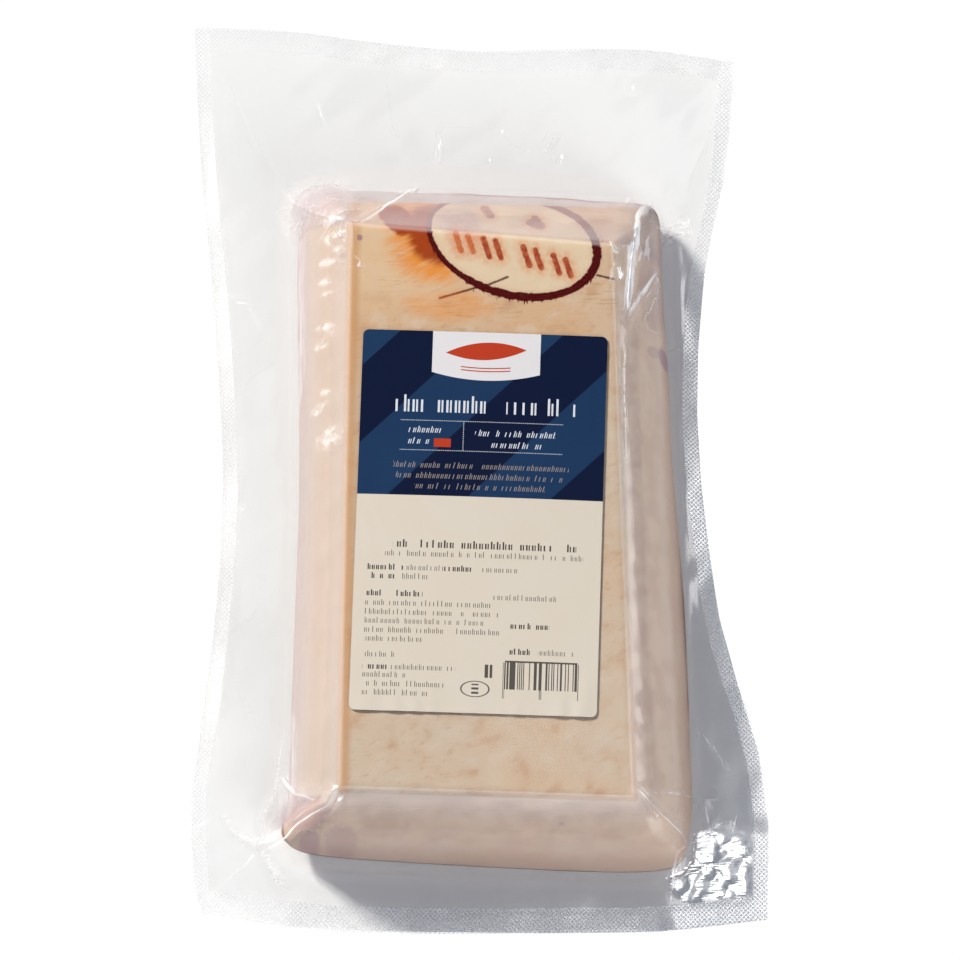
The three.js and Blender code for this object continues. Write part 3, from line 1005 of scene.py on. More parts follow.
@dataclass
class VacuumFilm:
    """The pouch's upper and lower film, welded together along the outline."""

    gap: float = 0.25
    web: float = 0.06
    cell: float = 0.72
    top_cell: float = 2.3
    rim_cell: float = 0.42
    weld_step: float = 0.12
    weld_width: float = 7.0
    welt_height: float = 0.22
    welt_width: float = 0.55
    crumple_centre: Point = (81.0, -142.0)
    crumple_reach: Point = (15.5, 15.0)
    crumple_height: float = 1.25
    crumple_level: float = 7.2
    crumple_middle: float = 0.45
    crumple_folds: tuple[float, ...] = (17.0, 13.0, 9.5, 7.0, 5.2)
    crumple_seed: int = 11
    swirl: float = 0.4
    swirl_length: float = 5.0
    phases: float = 6.28
    line_reach: float = 2.5
    line_far: float = 9.0
    run_step: float = 37.0
    free_ripples: Ripples = Ripples(3, 12.0, 48.0, 0.34)
    slope_ripples: Ripples = Ripples(5, 6.0, 22.0, 0.16, heading=90.0, spread=60.0)
    top_ripples: Ripples = Ripples(7, 7.0, 24.0, 0.02)
    left_calm: float = 0.7
    across_bands: tuple[float, ...] = (25.0, 22.5, 92.0, 22.5, 19.0)
    along_bands: tuple[float, ...] = (17.0, 24.0, 196.0, 27.0, 54.0)
    plan_rounds: int = 16
    smooth_angle: float = 60.0
    finish: FilmFinish = field(default_factory=FilmFinish)

    def _steps(self, lengths: Sequence[float]) -> Array:
        """Grid lines counted in bands 0 … 5, close together where the film creases."""
        edge, foot, top, far_foot, far_edge = lengths
        bands = [
            graded(edge, self.cell * 1.05, self.cell * 1.9, 9.0),
            graded(foot, self.cell * 0.8, self.cell * 1.1, 5.0),
            graded(top, self.rim_cell, self.top_cell, 5.0),
            graded(far_foot, self.cell * 0.8, self.cell * 1.1, 5.0),
            graded(far_edge, self.cell * 1.05, self.cell * 1.9, 9.0),
        ]
        return np.concatenate([[0.0], *(k + shares[1:] for k, shares in enumerate(bands))])

    @staticmethod
    def _between(lines: Array, steps: Array) -> Array:
        """Coordinates a number of bands in, from the six lines at each point."""
        k = np.minimum(steps.astype(int), 4)
        pick = np.arange(steps.size)
        return lerp(lines[k, pick], lines[k + 1, pick], steps - k)

    def plan(self, across: Array, along: Array) -> tuple[Array, Array]:
        """Places of grid points.

        Args:
            across: Each point's column, counted in bands.
            along: Each point's row, counted in bands.

        Returns:
            x and y of each point.
        """
        x, y = np.zeros(across.size), np.zeros(across.size)
        for _ in range(self.plan_rounds):
            x = self._between(FORM.columns(y), across)
            y = self._between(FORM.rows(x), along)
        return x, y

    def crumple(self, x: Array, y: Array) -> tuple[Array, Array, Array]:
        """The crumpled patch in the front right corner of the flange.

        Args:
            x: Places across.
            y: Places along.

        Returns:
            How far each place belongs to the patch, how far it is folded, and its height.
        """
        off_x = (x - self.crumple_centre[0]) / self.crumple_reach[0]
        off_y = (y - self.crumple_centre[1]) / self.crumple_reach[1]
        ragged = 0.07 * np.sin(x / 2.9 + 1.0) * np.sin(y / 3.7)
        beside = ease(FORM.band(x, y), 0.78, 0.92)
        folded = beside * ease(1.03 + ragged - np.hypot(off_x, off_y), 0.0, 0.12)
        off_x, off_y = np.where(off_x > 0, 0.4 * off_x, off_x), np.where(off_y < 0, 0.4 * off_y, off_y)
        inside = beside * ease(1.45 - np.hypot(off_x, off_y), 0.0, 0.5)
        draw = np.random.default_rng(self.crumple_seed)
        height = np.zeros_like(x)
        for length in self.crumple_folds:
            turn = math.pi * draw.random()
            run = (x * math.cos(turn) + y * math.sin(turn)) / length
            bent = (x * draw.random() - y) / self.swirl_length
            run = run + self.swirl * np.sin(bent + self.phases * draw.random())
            height += length * np.abs(np.sin(math.pi * run + self.phases * draw.random()))
        height = height / sum(self.crumple_folds) - self.crumple_middle
        loose = ease(y - FORM.front_edge.at(x), 7.5, 10.0) * ease(FORM.right_edge.at(y) - x, 5.0, 8.0)
        folded = folded * loose
        return inside, folded, self.crumple_level + folded * self.crumple_height * height

    def creases(self, x: Array, y: Array) -> tuple[Array, Array, Array, Array]:
        """Height of all creases, and where each place lies beside its nearest one.

        Args:
            x: Places across.
            y: Places along.

        Returns:
            Heights to add, signed distances, places along, and strengths of the lines.
        """
        height, power = np.zeros_like(x), np.zeros_like(x)
        off, run = np.full_like(x, self.line_far), np.zeros_like(x)
        every = [*FRONT_LEFT_CREASES, *FRONT_RIGHT_CREASES, *BACK_CREASES, *FLANGE_CREASES]
        for number, crease in enumerate(every):
            rise, far, along, strength = crease.at(x, y)
            height += rise
            here = strength * np.exp(-np.abs(far) / self.line_reach)
            closer = here > power * np.exp(-np.abs(off) / self.line_reach)
            off, power = np.where(closer, far, off), np.where(closer, strength, power)
            run = np.where(closer, along + self.run_step * number, run)
        return height, off, run, power

    def top(self, x: Array, y: Array) -> Array:
        """The upper film's height with all its creases."""
        out = FORM.band(x, y)
        free = ease(out, 0.95, 1.2)
        slope = ease(out, 0.0, 0.2) * (1 - free)
        welt = self.welt_height * np.exp(-((FORM.inset(x, y) + 0.3) / self.welt_width) ** 2)
        height = FORM.top(x, y) + welt + self.creases(x, y)[0]
        calm = 1 - self.left_calm * ease(x, -60.0, -70.0)
        height += free * calm * self.free_ripples.at(x, y)
        height += slope * self.slope_ripples.at(x, y)
        height += sum(lump.at(x, y) for lump in SIDE_LUMPS)
        height += (1 - slope - free) * self.top_ripples.at(x, y)
        inside, _, crumpled = self.crumple(x, y)
        return lerp(height, crumpled, 0.9 * inside) + self._weld_step(x, y)

    def under(self, x: Array, y: Array, top: Array) -> Array:
        """The lower film's height, given the upper film's."""
        out = FORM.band(x, y)
        rise = FORM.rise(out)
        fold = self.creases(x, y)[0] * rise
        flange = FORM.flange(x, y, np.clip(out - 1, 0.0, 1.0))
        under = np.where(rise >= 1, top - self.gap, (flange + fold - self.gap) * rise + self.web)
        return np.minimum(under, top - self.gap)

    def _weld_step(self, x: Array, y: Array) -> Array:
        """The welded bands lie a little lower than the film beside them."""
        near = np.minimum(np.minimum(*self._from_sides(x, y)), y - FORM.front_edge.at(x))
        return -self.weld_step * ease(near, self.weld_width + 0.6, self.weld_width - 0.6)

    @staticmethod
    def _from_sides(x: Array, y: Array) -> tuple[Array, Array]:
        """Distances from the left and the right edge."""
        return x - FORM.left_edge.at(y), FORM.right_edge.at(y) - x

    def build(self) -> bpy.types.Object:
        """Builds the two films as one closed sheet and dresses it.

        Returns:
            The film's object.
        """
        across = self._steps(self.across_bands)
        along = self._steps(self.along_bands)
        obj, column, row = add_grid("vacuum_film", across.size - 1, along.size - 1)
        x, y = self.plan(across[column], along[row])
        top = self.top(x, y)
        set_points(obj, np.column_stack([x, y, top]) * MM)
        add_underside(obj, np.where(on_outline(column, row), top, self.under(x, y, top)))
        self._dress(obj)
        return obj

    def _dress(self, obj: bpy.types.Object) -> None:
        """Stores what the finish reads, gives the film its material and its place."""
        x, y, _ = (points_of(obj) / MM).T
        set_attribute(obj, "band", FORM.band(x, y))
        set_attribute(obj, "from_side", np.minimum(*self._from_sides(x, y)))
        set_attribute(obj, "from_front", y - FORM.front_edge.at(x))
        set_attribute(obj, "from_back", FORM.back_edge.at(x) - y)
        set_attribute(obj, "rim_off", FORM.inset(x, y) + 0.3)
        set_attribute(obj, "crumpled", self.crumple(x, y)[1])
        # Share of the left lumps, where the finish paints its highlights.
        left = [lump.at(x, y) / lump.height for lump in SIDE_LUMPS if lump.centre[0] < 0]
        set_attribute(obj, "lumps", np.max(left, axis=0) * ease(x, -43.0, -46.0))
        _, off, run, power = self.creases(x, y)
        for name, values in (("crease_off", off), ("crease_run", run), ("crease_power", power)):
            set_attribute(obj, name, values)
        obj.data.materials.append(self.finish.build())
        smooth_faces(obj, self.smooth_angle)
        obj.visible_shadow = False
        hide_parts("vacuum_bag")
        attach(obj, "root")


# ---- the slab ----


@dataclass(frozen=True)
class StampInk:
    """The oval inspection stamp: a worn ring and plain strokes, in ink that ran a little."""

    centre: Point = (12.5, 74.0)
    reach: Point = (29.8, 19.9)
    turn: float = -18.0
    ring_half: float = 1.5
    ring_colour: Colour = rgb("490303")
    mark_colour: Colour = rgb("942606")
    pale_mark: Colour = rgb("b85010")
    faded_colour: Colour = rgb("7a3038")
    halo: Colour = rgb("d08a5c")
    stain_colour: Colour = rgb("db8422")
    deep_stain: Colour = rgb("94300a")
    washed: Colour = rgb("d9c4a6")
    bruise: Colour = rgb("a88a90")
    flush: Colour = rgb("cf8a76")
    bruise_patch: Oval = ((-6.0, 82.0), (14.0, 12.0))
    flush_patch: Oval = ((-4.0, 73.0), (13.0, 11.0))
    low_stain: Oval = ((-8.0, 50.0), (30.0, 10.0))
    fading: Point = (75.5, 78.0)
    raggedness: float = 1.9
    left_thinning: float = 0.55
    run: Segment = ((-29.3, 84.6), (-20.3, 72.9))
    spurs: tuple[Segment, ...] = (((1.5, 56.9), (-12.7, 52.7)), ((2.0, 56.6), (10.6, 60.3)),
                                  ((41.5, 61.0), (47.2, 59.6)))
    marks: tuple[Segment, ...] = (
        ((2.2, 74.4), (4.4, 67.6)), ((6.4, 73.4), (8.4, 67.2)),
        ((16.0, 71.2), (18.2, 64.4)), ((20.2, 70.0), (22.2, 63.6)),
        ((26.4, 68.2), (28.4, 61.8)), ((30.6, 66.6), (32.4, 60.8)))
    pale_marks: tuple[Segment, ...] = (((-7.4, 76.4), (-5.4, 69.8)), ((-3.2, 75.4), (-1.2, 69.4)))
    faded_marks: tuple[Segment, ...] = (((2.6, 87.6), (4.8, 84.0)), ((20.0, 83.0), (22.4, 79.4)),
                                        ((18.4, 81.0), (21.0, 79.4)))

    def paint(self, s: Shader, skin: Tint) -> Tint:
        """Lays the stain and the stamp over the rind.

        Args:
            s: The rind's shader.
            skin: The rind's own colour.

        Returns:
            The stamped colour.
        """
        x, y, _ = s.axes
        rough = s.noise(1.1, 4.0) - 0.5
        off, below = self._ring(x, y)
        skin = skin.over(off.ease(1.0, -4.0) * (0.55 + s.noise(4.0, 3.0) * 0.5), self.washed)
        skin = self._stain(s, skin, off)
        bruised = cloud(x, y, *self.bruise_patch) * s.noise(3.5, 3.0)
        skin = skin.over(bruised.ease(0.15, 0.6) * 0.6, self.bruise)
        flushed = cloud(x, y, *self.flush_patch) * s.noise(3.0, 3.0)
        skin = skin.over(flushed.ease(0.2, 0.6) * 0.45, self.flush)
        faded = y.ease(*self.fading)
        strokes = ((self.marks, 1.0, self.mark_colour, 0.95),
                   (self.pale_marks, 0.95, self.pale_mark, 0.85),
                   (self.faded_marks, 1.4, self.faded_colour, 0.85))
        blots = s.noise(1.8, 3.0).ease(0.35, 0.7)
        for lines, half, colour, strength in strokes:
            near = self._nearest(s, x, y, lines)
            skin = skin.over(near.ease(4.6, 0.8) * (0.25 + blots * 0.5), self.halo)
            drawn = 1.0 - (near + rough * 1.1 * half).ease(half - 0.3, half + 0.3)
            skin = skin.over(drawn * strength, s.mix(blots * 0.35, colour, self.halo))
        spurs = 1.0 - (self._nearest(s, x, y, self.spurs) + rough * 0.5).ease(0.1, 0.7)
        skin = skin.over(spurs * 0.9, s.mix(x.ease(-12.0, -2.0), self.deep_stain,
                                            self.ring_colour))
        hairs = s.noise(0.9, 2.0, (0.5, 5.0, 1.0), 8.0).ease(0.56, 0.76) * below
        half = self.ring_half - x.ease(4.0, -12.0) * self.left_thinning
        half = half + rough * self.raggedness + hairs * self.raggedness * off.above(0.0)
        ring = 1.0 - (abs(off) - half).ease(-0.2, 0.2)
        ink = s.mix(faded * 0.8, self.ring_colour, self.faded_colour)
        worn = 1.0 - (s.noise(1.1, 2.0).ease(0.62, 0.74) * faded * 0.5)
        return skin.over(ring * worn, ink)

    def _stain(self, s: Shader, skin: Tint, off: Value) -> Tint:
        """Lays on the ink that ran out to the left and below the ring, in streaks."""
        x, y, _ = s.axes
        streak = s.noise(1.5, 4.0, (6.0, 1.0, 1.0), 28.0)
        flat_streak = s.noise(1.3, 4.0, (7.0, 1.0, 1.0), 2.0)
        patchy = s.noise(9.0, 2.0)
        outside = off.above(0.4)
        left = x.ease(4.0, -16.0) * y.ease(50.0, 62.0)
        near = off.ease(30.0, 3.0) * outside * left
        spread = (near * (0.35 + streak * 1.25)).ease(0.3, 1.05)
        low = cloud(x, y, *self.low_stain) * outside * (0.5 + patchy)
        low = (low * (0.2 + flat_streak * 1.3)).ease(0.3, 1.05)
        skin = skin.over(spread.most(low * 0.5) * 0.9, self.stain_colour)
        core = off.ease(13.0, 1.0) * outside * x.ease(-3.0, -13.0) * y.ease(60.0, 70.0)
        run = s.to_segment(x, y, self.run).ease(6.5, 3.0) * outside
        core = core.most(run * y.ease(73.0, 78.0)) * y.ease(92.0, 85.0)
        return skin.over((core * (0.35 + streak * 1.5)).ease(0.2, 0.8) * 0.92, self.deep_stain)

    def _ring(self, x: Value, y: Value) -> tuple[Value, Value]:
        """Distance outside the ring's middle line, and 1 outside the oval, else 0."""
        along, across = turned(x, y, self.centre, self.turn)
        far = (along * along + across * across).sqrt()
        share = ((along / self.reach[0]) ** 2.0 + (across / self.reach[1]) ** 2.0).sqrt()
        off = far - far / share.most(0.05)
        return off, off.ease(-1.5, 0.5)

    @staticmethod
    def _nearest(s: Shader, x: Value, y: Value, strokes: Sequence[Segment]) -> Value:
        """Distance to the nearest of some strokes."""
        nearest = s.to_segment(x, y, strokes[0])
        for stroke in strokes[1:]:
            nearest = nearest.least(s.to_segment(x, y, stroke))
        return nearest


@dataclass(frozen=True)
class RindFinish:
    """Moist raw rind on top, and fat and lean where the slab is cut."""

    pale: Colour = rgb("c8b49f")
    warm: Colour = rgb("cba47e")
    tan: Colour = rgb("b38663")
    grain: Colour = rgb("9c6640")
    chalk: Colour = rgb("cfc0ae")
    # Painted light and shade: the front and right sides, which lie in shade, take a lighter copy of the
    # rind that darkens towards the foot, and the key-lit left side takes a darker copy, lilac at its foot.
    side: Colour = rgb("e6cab0")
    low_side_painted_shade: Colour = rgb("ae907c")
    blush: Colour = rgb("b98f7e")
    left_side_painted_shade: Colour = rgb("ae9888")
    left_foot_lilac_and_shade: Colour = rgb("aa9b9a")
    cream: Colour = rgb("dcbd98")
    behind: Colour = rgb("8f7470")
    rim: Colour = rgb("b88656")
    fat: Colour = rgb("c2bab9")
    lean: Colour = rgb("a67c86")
    deep_lean: Colour = rgb("7d4f5c")
    spot_and_shade: Colour = rgb("87606e")
    roughness: float = 0.42
    specular: float = 0.05
    pore_scale: float = 0.55
    pore_depth: float = 0.12
    grain_relief: float = 0.45
    relief_height: float = 0.35
    relief_strength: float = 0.5
    cut_from: Point = (0.85, 0.9)
    back_cut: Point = (89.2, 90.4)
    back_slant: float = 0.0835
    back_line: float = 75.4
    left_side_x: Point = (-44.0, -48.0)
    upper_lean: Point = (14.0, 21.0)
    lower_lean: Point = (-20.0, 9.5)
    warp_height: float = 11.0
    stamp: StampInk = field(default_factory=StampInk)
    # Dark mauve spots of lean and bruising; the wide one at (-57, -126) is painted shade that dims the
    # key-lit front-left side.
    spots_and_shade: tuple[tuple[Point, Point, float], ...] = (
        ((65.0, 37.5), (3.4, 5.6), 0.8), ((61.0, 37.0), (4.0, 3.4), 0.3),
        ((-57.0, -126.0), (12.0, 9.0), 0.5), ((-40.3, 74.6), (1.5, 1.7), 0.7),
        ((-57.0, -133.6), (6.0, 3.2), 0.5), ((-46.0, -134.0), (9.0, 5.0), 0.3),
        ((-47.0, 76.0), (3.0, 2.2), 0.35), ((-46.5, 68.5), (2.6, 1.6), 0.35),
        ((61.0, 62.0), (9.0, 26.0), 0.28), ((60.5, 72.0), (3.5, 5.0), 0.3))

    def build(self) -> bpy.types.Material:
        """Builds the slab's material.

        Returns:
            The material.
        """
        s = Shader("pork_rind")
        x, y, _ = s.axes
        down = s.attribute("down")
        skin = self._skin(s, down)
        skin = self.stamp.paint(s, skin)
        rough = s.noise(1.3, 2.0) - 0.5
        # Lays the spots, one of them painted shade.
        for centre, reach, strength in self.spots_and_shade:
            patch = cloud(x, y, centre, reach)
            skin = skin.over((patch + rough * 1.2).ease(0.25, 0.8) * strength, self.spot_and_shade)
        wavy = s.noise(14.0, 2.0) * 4.0 - 2.0
        back = (y + wavy * 0.4).ease(*self.back_cut)
        left = x.ease(*self.left_side_x) * y.ease(-127.0, -120.0)
        ends = y.ease(14.0, 34.0).most(y.ease(-78.0, -96.0))
        past = down + wavy * 0.008 + left * (ends * 0.24 - 0.03) - y.ease(-124.0, -130.0) * 0.2
        past = past - x.ease(54.0, 60.0) * 0.2
        flesh = self._flesh(s, 1.0 - left * 0.8)
        colour = skin.over(back.most(past.ease(*self.cut_from)), flesh)
        behind = (y + x * self.back_slant - self.back_line).ease(0.0, 2.0)
        colour = colour.over(behind * (0.35 + s.noise(12.0, 3.0) * 0.3), self.behind)
        patches = s.noise(2.6, 3.0, (0.6, 5.0, 1.0)).ease(0.48, 0.62)
        along = patches * left * ends * past.ease(0.86, 0.94) * 0.4
        across = abs(y + wavy * 0.35 - 98.4).ease(1.5, 0.6) * s.noise(9.0, 2.0).ease(0.3, 0.5)
        colour = colour.over(along.most(across * 0.5), self.lean)
        pores = s.value("ShaderNodeTexVoronoi", {"feature": "F1"},
                        {"Vector": s.place, "Scale": self.pore_scale}, "Distance").ease(0.28, 0.05)
        relief = s.noise(3.2, 4.0) * self.grain_relief - pores * self.pore_depth
        surface = s.principled({
            "Base Color": colour, "Roughness": self.roughness,
            "Specular IOR Level": self.specular,
            "Normal": s.bump(relief, self.relief_height, self.relief_strength)})
        return s.finish(surface)

    def _skin(self, s: Shader, down: Value) -> Tint:
        """The rind's colour without the stamp."""
        x, y, _ = s.axes
        broad = s.noise(34.0, 3.0)
        mottle = s.noise(6.5, 4.0, (1.4, 1.0, 1.0), 25.0)
        flecks = s.noise(1.6, 3.0, (2.2, 1.0, 1.0), 30.0)
        back_warmth = (y + broad * 60.0).ease(10.0, 75.0)
        skin = s.mix(broad.ease(0.35, 0.65) * 0.35 + back_warmth * 0.5, self.pale, self.warm)
        skin = skin.over(mottle.ease(0.5, 0.75) * 0.5, self.tan)
        skin = skin.over(mottle.ease(0.48, 0.3) * 0.4, self.chalk)
        skin = skin.over(flecks.ease(0.55, 0.75) * 0.35, self.tan)
        skin = skin.over(y.ease(42.0, 62.0) * x.ease(12.0, -18.0) * (0.2 + mottle * 0.6), self.cream)
        fine = s.noise(0.8, 3.0, (8.0, 1.0, 1.0), 3.0).ease(0.52, 0.72)
        patchy = s.noise(11.0, 2.0).ease(0.4, 0.65)
        grainy = y.ease(34.0, 48.0) * (1.0 - y.ease(70.0, 80.0))
        skin = skin.over(fine * patchy * (0.10 + grainy * 0.42), self.grain)
        inside = self._inside_left_rim(x, y)
        # Painted shade on the key-lit left side: a darker copy of the rind, lilac towards the foot.
        left_side_painted_shade = s.mix(down.ease(0.35, 0.75), self.left_side_painted_shade, self.left_foot_lilac_and_shade)
        skin = skin.over((-inside).ease(-0.3, 1.6) * 0.85, left_side_painted_shade)
        skin = skin.over(abs(inside - 0.9).ease(3.4, 0.4) * 0.65, self.rim)
        # Painted light on the shaded front and right sides, darkening towards the foot as painted shade.
        other_side = x.ease(50.0, 53.0).most(y.ease(-121.5, -124.0))
        blotches = s.noise(9.0, 3.0).ease(0.36, 0.66)
        side_painted_shading = s.mix(down.ease(0.28, 0.92), self.side, self.low_side_painted_shade)
        blushed = s.mix(blotches * 0.35, side_painted_shading, self.blush)
        skin = skin.over(other_side * 0.9, blushed)
        veins = s.noise(2.2, 4.0).ease(0.6, 0.72) * s.noise(16.0, 2.0).ease(0.5, 0.66)
        return skin.over(veins * y.ease(-119.0, -125.0) * 0.4, self.spot_and_shade)

    @staticmethod
    def _inside_left_rim(x: Value, y: Value) -> Value:
        """Distance inside the left rim of the flat top, negative outside it."""
        (front_x, front_y), (back_x, back_y) = FORM.top_front_left, FORM.top_back_left
        lean = (back_x - front_x) / (back_y - front_y)
        return x - (y - front_y) * lean - front_x

    def _flesh(self, s: Shader, share: Value) -> Tint:
        """Fat with layers of lean of some share, on the cut sides and underneath."""
        warp = (s.noise(22.0, 3.0, (1.6, 1.6, 0.7)) - 0.5) * self.warp_height
        height = s.axes[2] + warp
        streak = s.noise(3.0, 3.0, (3.0, 3.0, 0.6))
        layers = height.within(*self.upper_lean).most(height.within(*self.lower_lean))
        lean = s.mix(streak.ease(0.35, 0.65), self.lean, self.deep_lean)
        fat = s.mix(streak.ease(0.45, 0.75) * 0.35, self.fat, self.lean)
        return fat.over(layers * share, lean)


@dataclass
class PorkSlab:
    """The slab of belly: rind bent over three edges, drawn tight under the film."""

    film_gap: float = 0.35
    base_gap: float = 0.4
    thinnest: float = 0.06
    side_cells: int = 30
    columns: int = 40
    rows: int = 84
    plan_rounds: int = 14
    corner_power: float = 7.0
    smooth_angle: float = 55.0
    bulge_from: float = 0.62
    bulge_power: float = 0.9
    side_slack: float = 0.35
    side_ripples: Ripples = Ripples(21, 9.0, 34.0, 0.35)
    rind_ripples: Ripples = Ripples(23, 3.0, 11.0, 0.05)
    left_reach: SmoothLine = SmoothLine((
        (-143, 0.92), (-130, 1.0), (-121, 0.92), (-108, 0.90), (-81, 0.91), (-48, 0.90), (-10, 0.87),
        (50, 0.89), (78, 0.88), (88, 0.80), (96, 0.60), (104, 0.45)))
    right_reach: SmoothLine = SmoothLine((
        (-147, 0.66), (-134, 0.80), (-118, 0.91), (-97, 0.94), (-77, 0.965), (-46, 0.975), (-18, 0.93),
        (8, 0.88), (30, 0.865), (62, 0.80), (100, 0.78)))
    front_reach: SmoothLine = SmoothLine((
        (-68, 0.58), (-60, 0.64), (-45, 0.70), (-30, 0.73), (0, 0.77), (40, 0.80), (60, 0.76), (78, 0.62)))
    back_reach: SmoothLine = SmoothLine((
        (-64, 0.35), (-58, 0.50), (-51, 0.74), (-44, 0.88), (-20, 0.92), (20, 0.92), (70, 0.86)))
    outwards: SmoothLine = SmoothLine(((0, 0), (0.35, 0.42), (0.62, 0.80), (0.74, 0.93),
                                       (0.85, 1.0), (0.93, 1.0), (1, 0.98)))
    finish: RindFinish = field(default_factory=RindFinish)

    def _layout(self, column: Array, row: Array) -> tuple[Array, Array, Array]:
        """Place of each grid point and how far down the side it is."""
        across = self._signed(column, self.columns)
        along = self._signed(row, self.rows)
        down = np.maximum(np.abs(across), np.abs(along)).clip(0.0, 1.0)
        side_x, side_y = np.abs(across).clip(0, 1), np.abs(along).clip(0, 1)
        power = self.corner_power
        both = np.maximum((side_x ** power + side_y ** power) ** (1 / power), 1e-9)
        top_x = (column - self.side_cells) / self.columns
        top_y = (row - self.side_cells) / self.rows
        x, y = np.zeros(column.size), np.zeros(column.size)
        for _ in range(self.plan_rounds):
            columns, rows = FORM.columns(y), FORM.rows(x)
            reach_x = np.where(across < 0, self.left_reach.at(y), self.right_reach.at(y))
            reach_y = np.where(along < 0, self.front_reach.at(x), self.back_reach.at(x))
            out = self.outwards.at(down) / both
            x = self._spread(columns, top_x, reach_x * out * side_x, across)
            y = self._spread(rows, top_y, reach_y * out * side_y, along)
        return x, y, down

    def _signed(self, index: Array, top_cells: int) -> Array:
        """-1 … 0 down the first side, 0 over the top and 0 … 1 down the far side."""
        cells = self.side_cells
        return np.where(index < cells, index / cells - 1.0,
                        np.maximum(index - cells - top_cells, 0) / cells)

    @staticmethod
    def _spread(lines: Array, top: Array, out: Array, side: Array) -> Array:
        """A coordinate on the top, or out from its rim towards the foot."""
        on_top = lerp(lines[2], lines[3], np.clip(top, 0.0, 1.0))
        low = lines[2] + (lines[1] - lines[2]) * out
        high = lines[3] + (lines[4] - lines[3]) * out
        return np.where(side < 0, low, np.where(side > 0, high, on_top))

    def build(self) -> bpy.types.Object:
        """Builds the slab and dresses it.

        Returns:
            The slab's object.
        """
        cells = 2 * self.side_cells
        obj, column, row = add_grid("pork_slab", cells + self.columns, cells + self.rows)
        x, y, down = self._layout(column, row)
        film = FORM.top(x, y) - self.film_gap
        base = self._base(x, y)
        height = lerp(film, base, ease(down, self.bulge_from, 1.0) ** self.bulge_power)
        height -= ease(down, 0.2, 0.7) * (self.side_slack + self.side_ripples.at(x, y))
        height = np.maximum(np.minimum(height, film), base)
        height -= ease(FORM.inset(x, y), 0.5, 4.0) * np.abs(self.rind_ripples.at(x, y))
        base, height = self._between_films(x, y, base, height)
        height = np.where(on_outline(column, row), base, height)
        set_points(obj, np.column_stack([x, y, height]) * MM)
        set_attribute(obj, "down", down)
        add_underside(obj, base)
        obj.data.materials.append(self.finish.build())
        smooth_faces(obj, self.smooth_angle)
        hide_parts("vacuum_bag")
        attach(obj, "root")
        return obj

    def _between_films(self, x: Array, y: Array, base: Array, height: Array) -> tuple[Array, Array]:
        """The heights of the underside and the skin, kept between the two films and apart."""
        film = VacuumFilm()
        top = film.top(x, y)
        under = film.under(x, y, top)
        room = np.minimum(self.film_gap, (top - under) / 3)
        base = np.clip(base, under + room, top - 2 * room)
        return base, np.clip(height, base + self.thinnest, top - room)

    def _base(self, x: Array, y: Array) -> Array:
        """The underside, which lies on the lower film."""
        out = FORM.band(x, y)
        flange = FORM.flange(x, y, np.clip(out - 1, 0.0, 1.0))
        return flange * FORM.rise(out) + self.base_gap


# ---- the label ----


Row: TypeAlias = tuple[float, float, float]


@dataclass(frozen=True)
class TextBlock:
    """Printed rows of one size, greeked: plain upright strokes in place of every letter.

    Each row is its left end, its right end and its base line. left and right are from the
    label's left side, and a base line is from its upper end.
    """

    rows: tuple[Row, ...]
    height: float
    pitch: float
    weight: float
    colour: Colour
    lean: float = 0.0
    strength: float = 0.95

    def mask(self, s: Shader, u: Value, v: Value) -> Value:
        """A mask of the marks.

        Args:
            s: The label's shader.
            u: Places from the left side.
            v: Places from the upper end.

        Returns:
            1 on a mark, else 0.
        """
        up, inside, seed = v * 0.0, v * 0.0, v * 0.0
        for number, (left, right, base) in enumerate(self.rows):
            hit = v.within(base - self.height * 1.02, base + 0.02) * u.within(left, right)
            up = up + hit * (base - v)
            inside = inside + hit
            seed = seed + hit * (number * 7.31 + self.pitch)
        level = up / self.height
        run = (u - up * self.lean) / self.pitch
        inputs = {"Vector": s.vector(run.floor(), seed)}
        drawn = s.node("ShaderNodeTexWhiteNoise", {"noise_dimensions": "2D"}, inputs)
        first, second, third = s.split(drawn.outputs["Color"])
        across = run.fract()
        thick = self.weight / self.pitch
        short = 1.0 - level.above(0.72)
        near = across.within(0.14, 0.14 + thick) * (1.0 - level.above(0.72 + second.above(0.7) * 0.28))
        far = across.within(0.58, 0.58 + thick * 0.8) * short * first.above(0.3)
        return inside * third.above(0.13) * near.most(far)


NAVY = rgb("091430")
WHITE = rgb("d8dae2")
INK = rgb("2b2624")
TEXT_BLOCKS = (
    TextBlock(((11.0, 46.0, 28.9), (50.0, 73.6, 28.9)), 6.0, 2.9, 0.75, WHITE),
    TextBlock(((16.5, 28.6, 36.2), (16.5, 24.2, 40.2), (39.6, 67.0, 36.9), (44.0, 62.5, 40.9)),
              2.2, 1.5, 0.34, WHITE, 0.25),
    TextBlock(((12.0, 72.0, 48.6), (13.0, 70.0, 52.3), (19.5, 64.0, 56.0)),
              2.1, 1.4, 0.30, rgb("8f8580"), 0.25),
    TextBlock(((12.8, 75.4, 76.8),), 2.7, 2.0, 0.55, INK),
    TextBlock(((4.5, 17.0, 84.9), (30.0, 42.0, 84.9), (4.5, 14.0, 88.0), (4.2, 23.6, 94.1),
               (53.3, 67.0, 104.4), (4.0, 12.5, 119.8), (53.5, 61.0, 113.4)), 2.1, 1.45, 0.46, INK),
    TextBlock(((10.1, 77.8, 79.9), (17.8, 29.0, 84.9), (43.0, 55.5, 84.9), (15.0, 26.0, 88.0),
               (46.0, 69.5, 94.5), (4.1, 46.9, 97.4), (4.0, 49.6, 100.6), (4.0, 44.6, 103.7),
               (4.0, 51.0, 106.9), (4.5, 24.0, 110.0), (4.5, 14.6, 115.5), (63.5, 75.6, 113.4),
               (13.4, 35.6, 119.8), (4.0, 18.9, 122.6), (4.0, 32.0, 125.7), (4.0, 27.2, 128.8)),
              2.0, 1.36, 0.27, INK, strength=0.85),
)


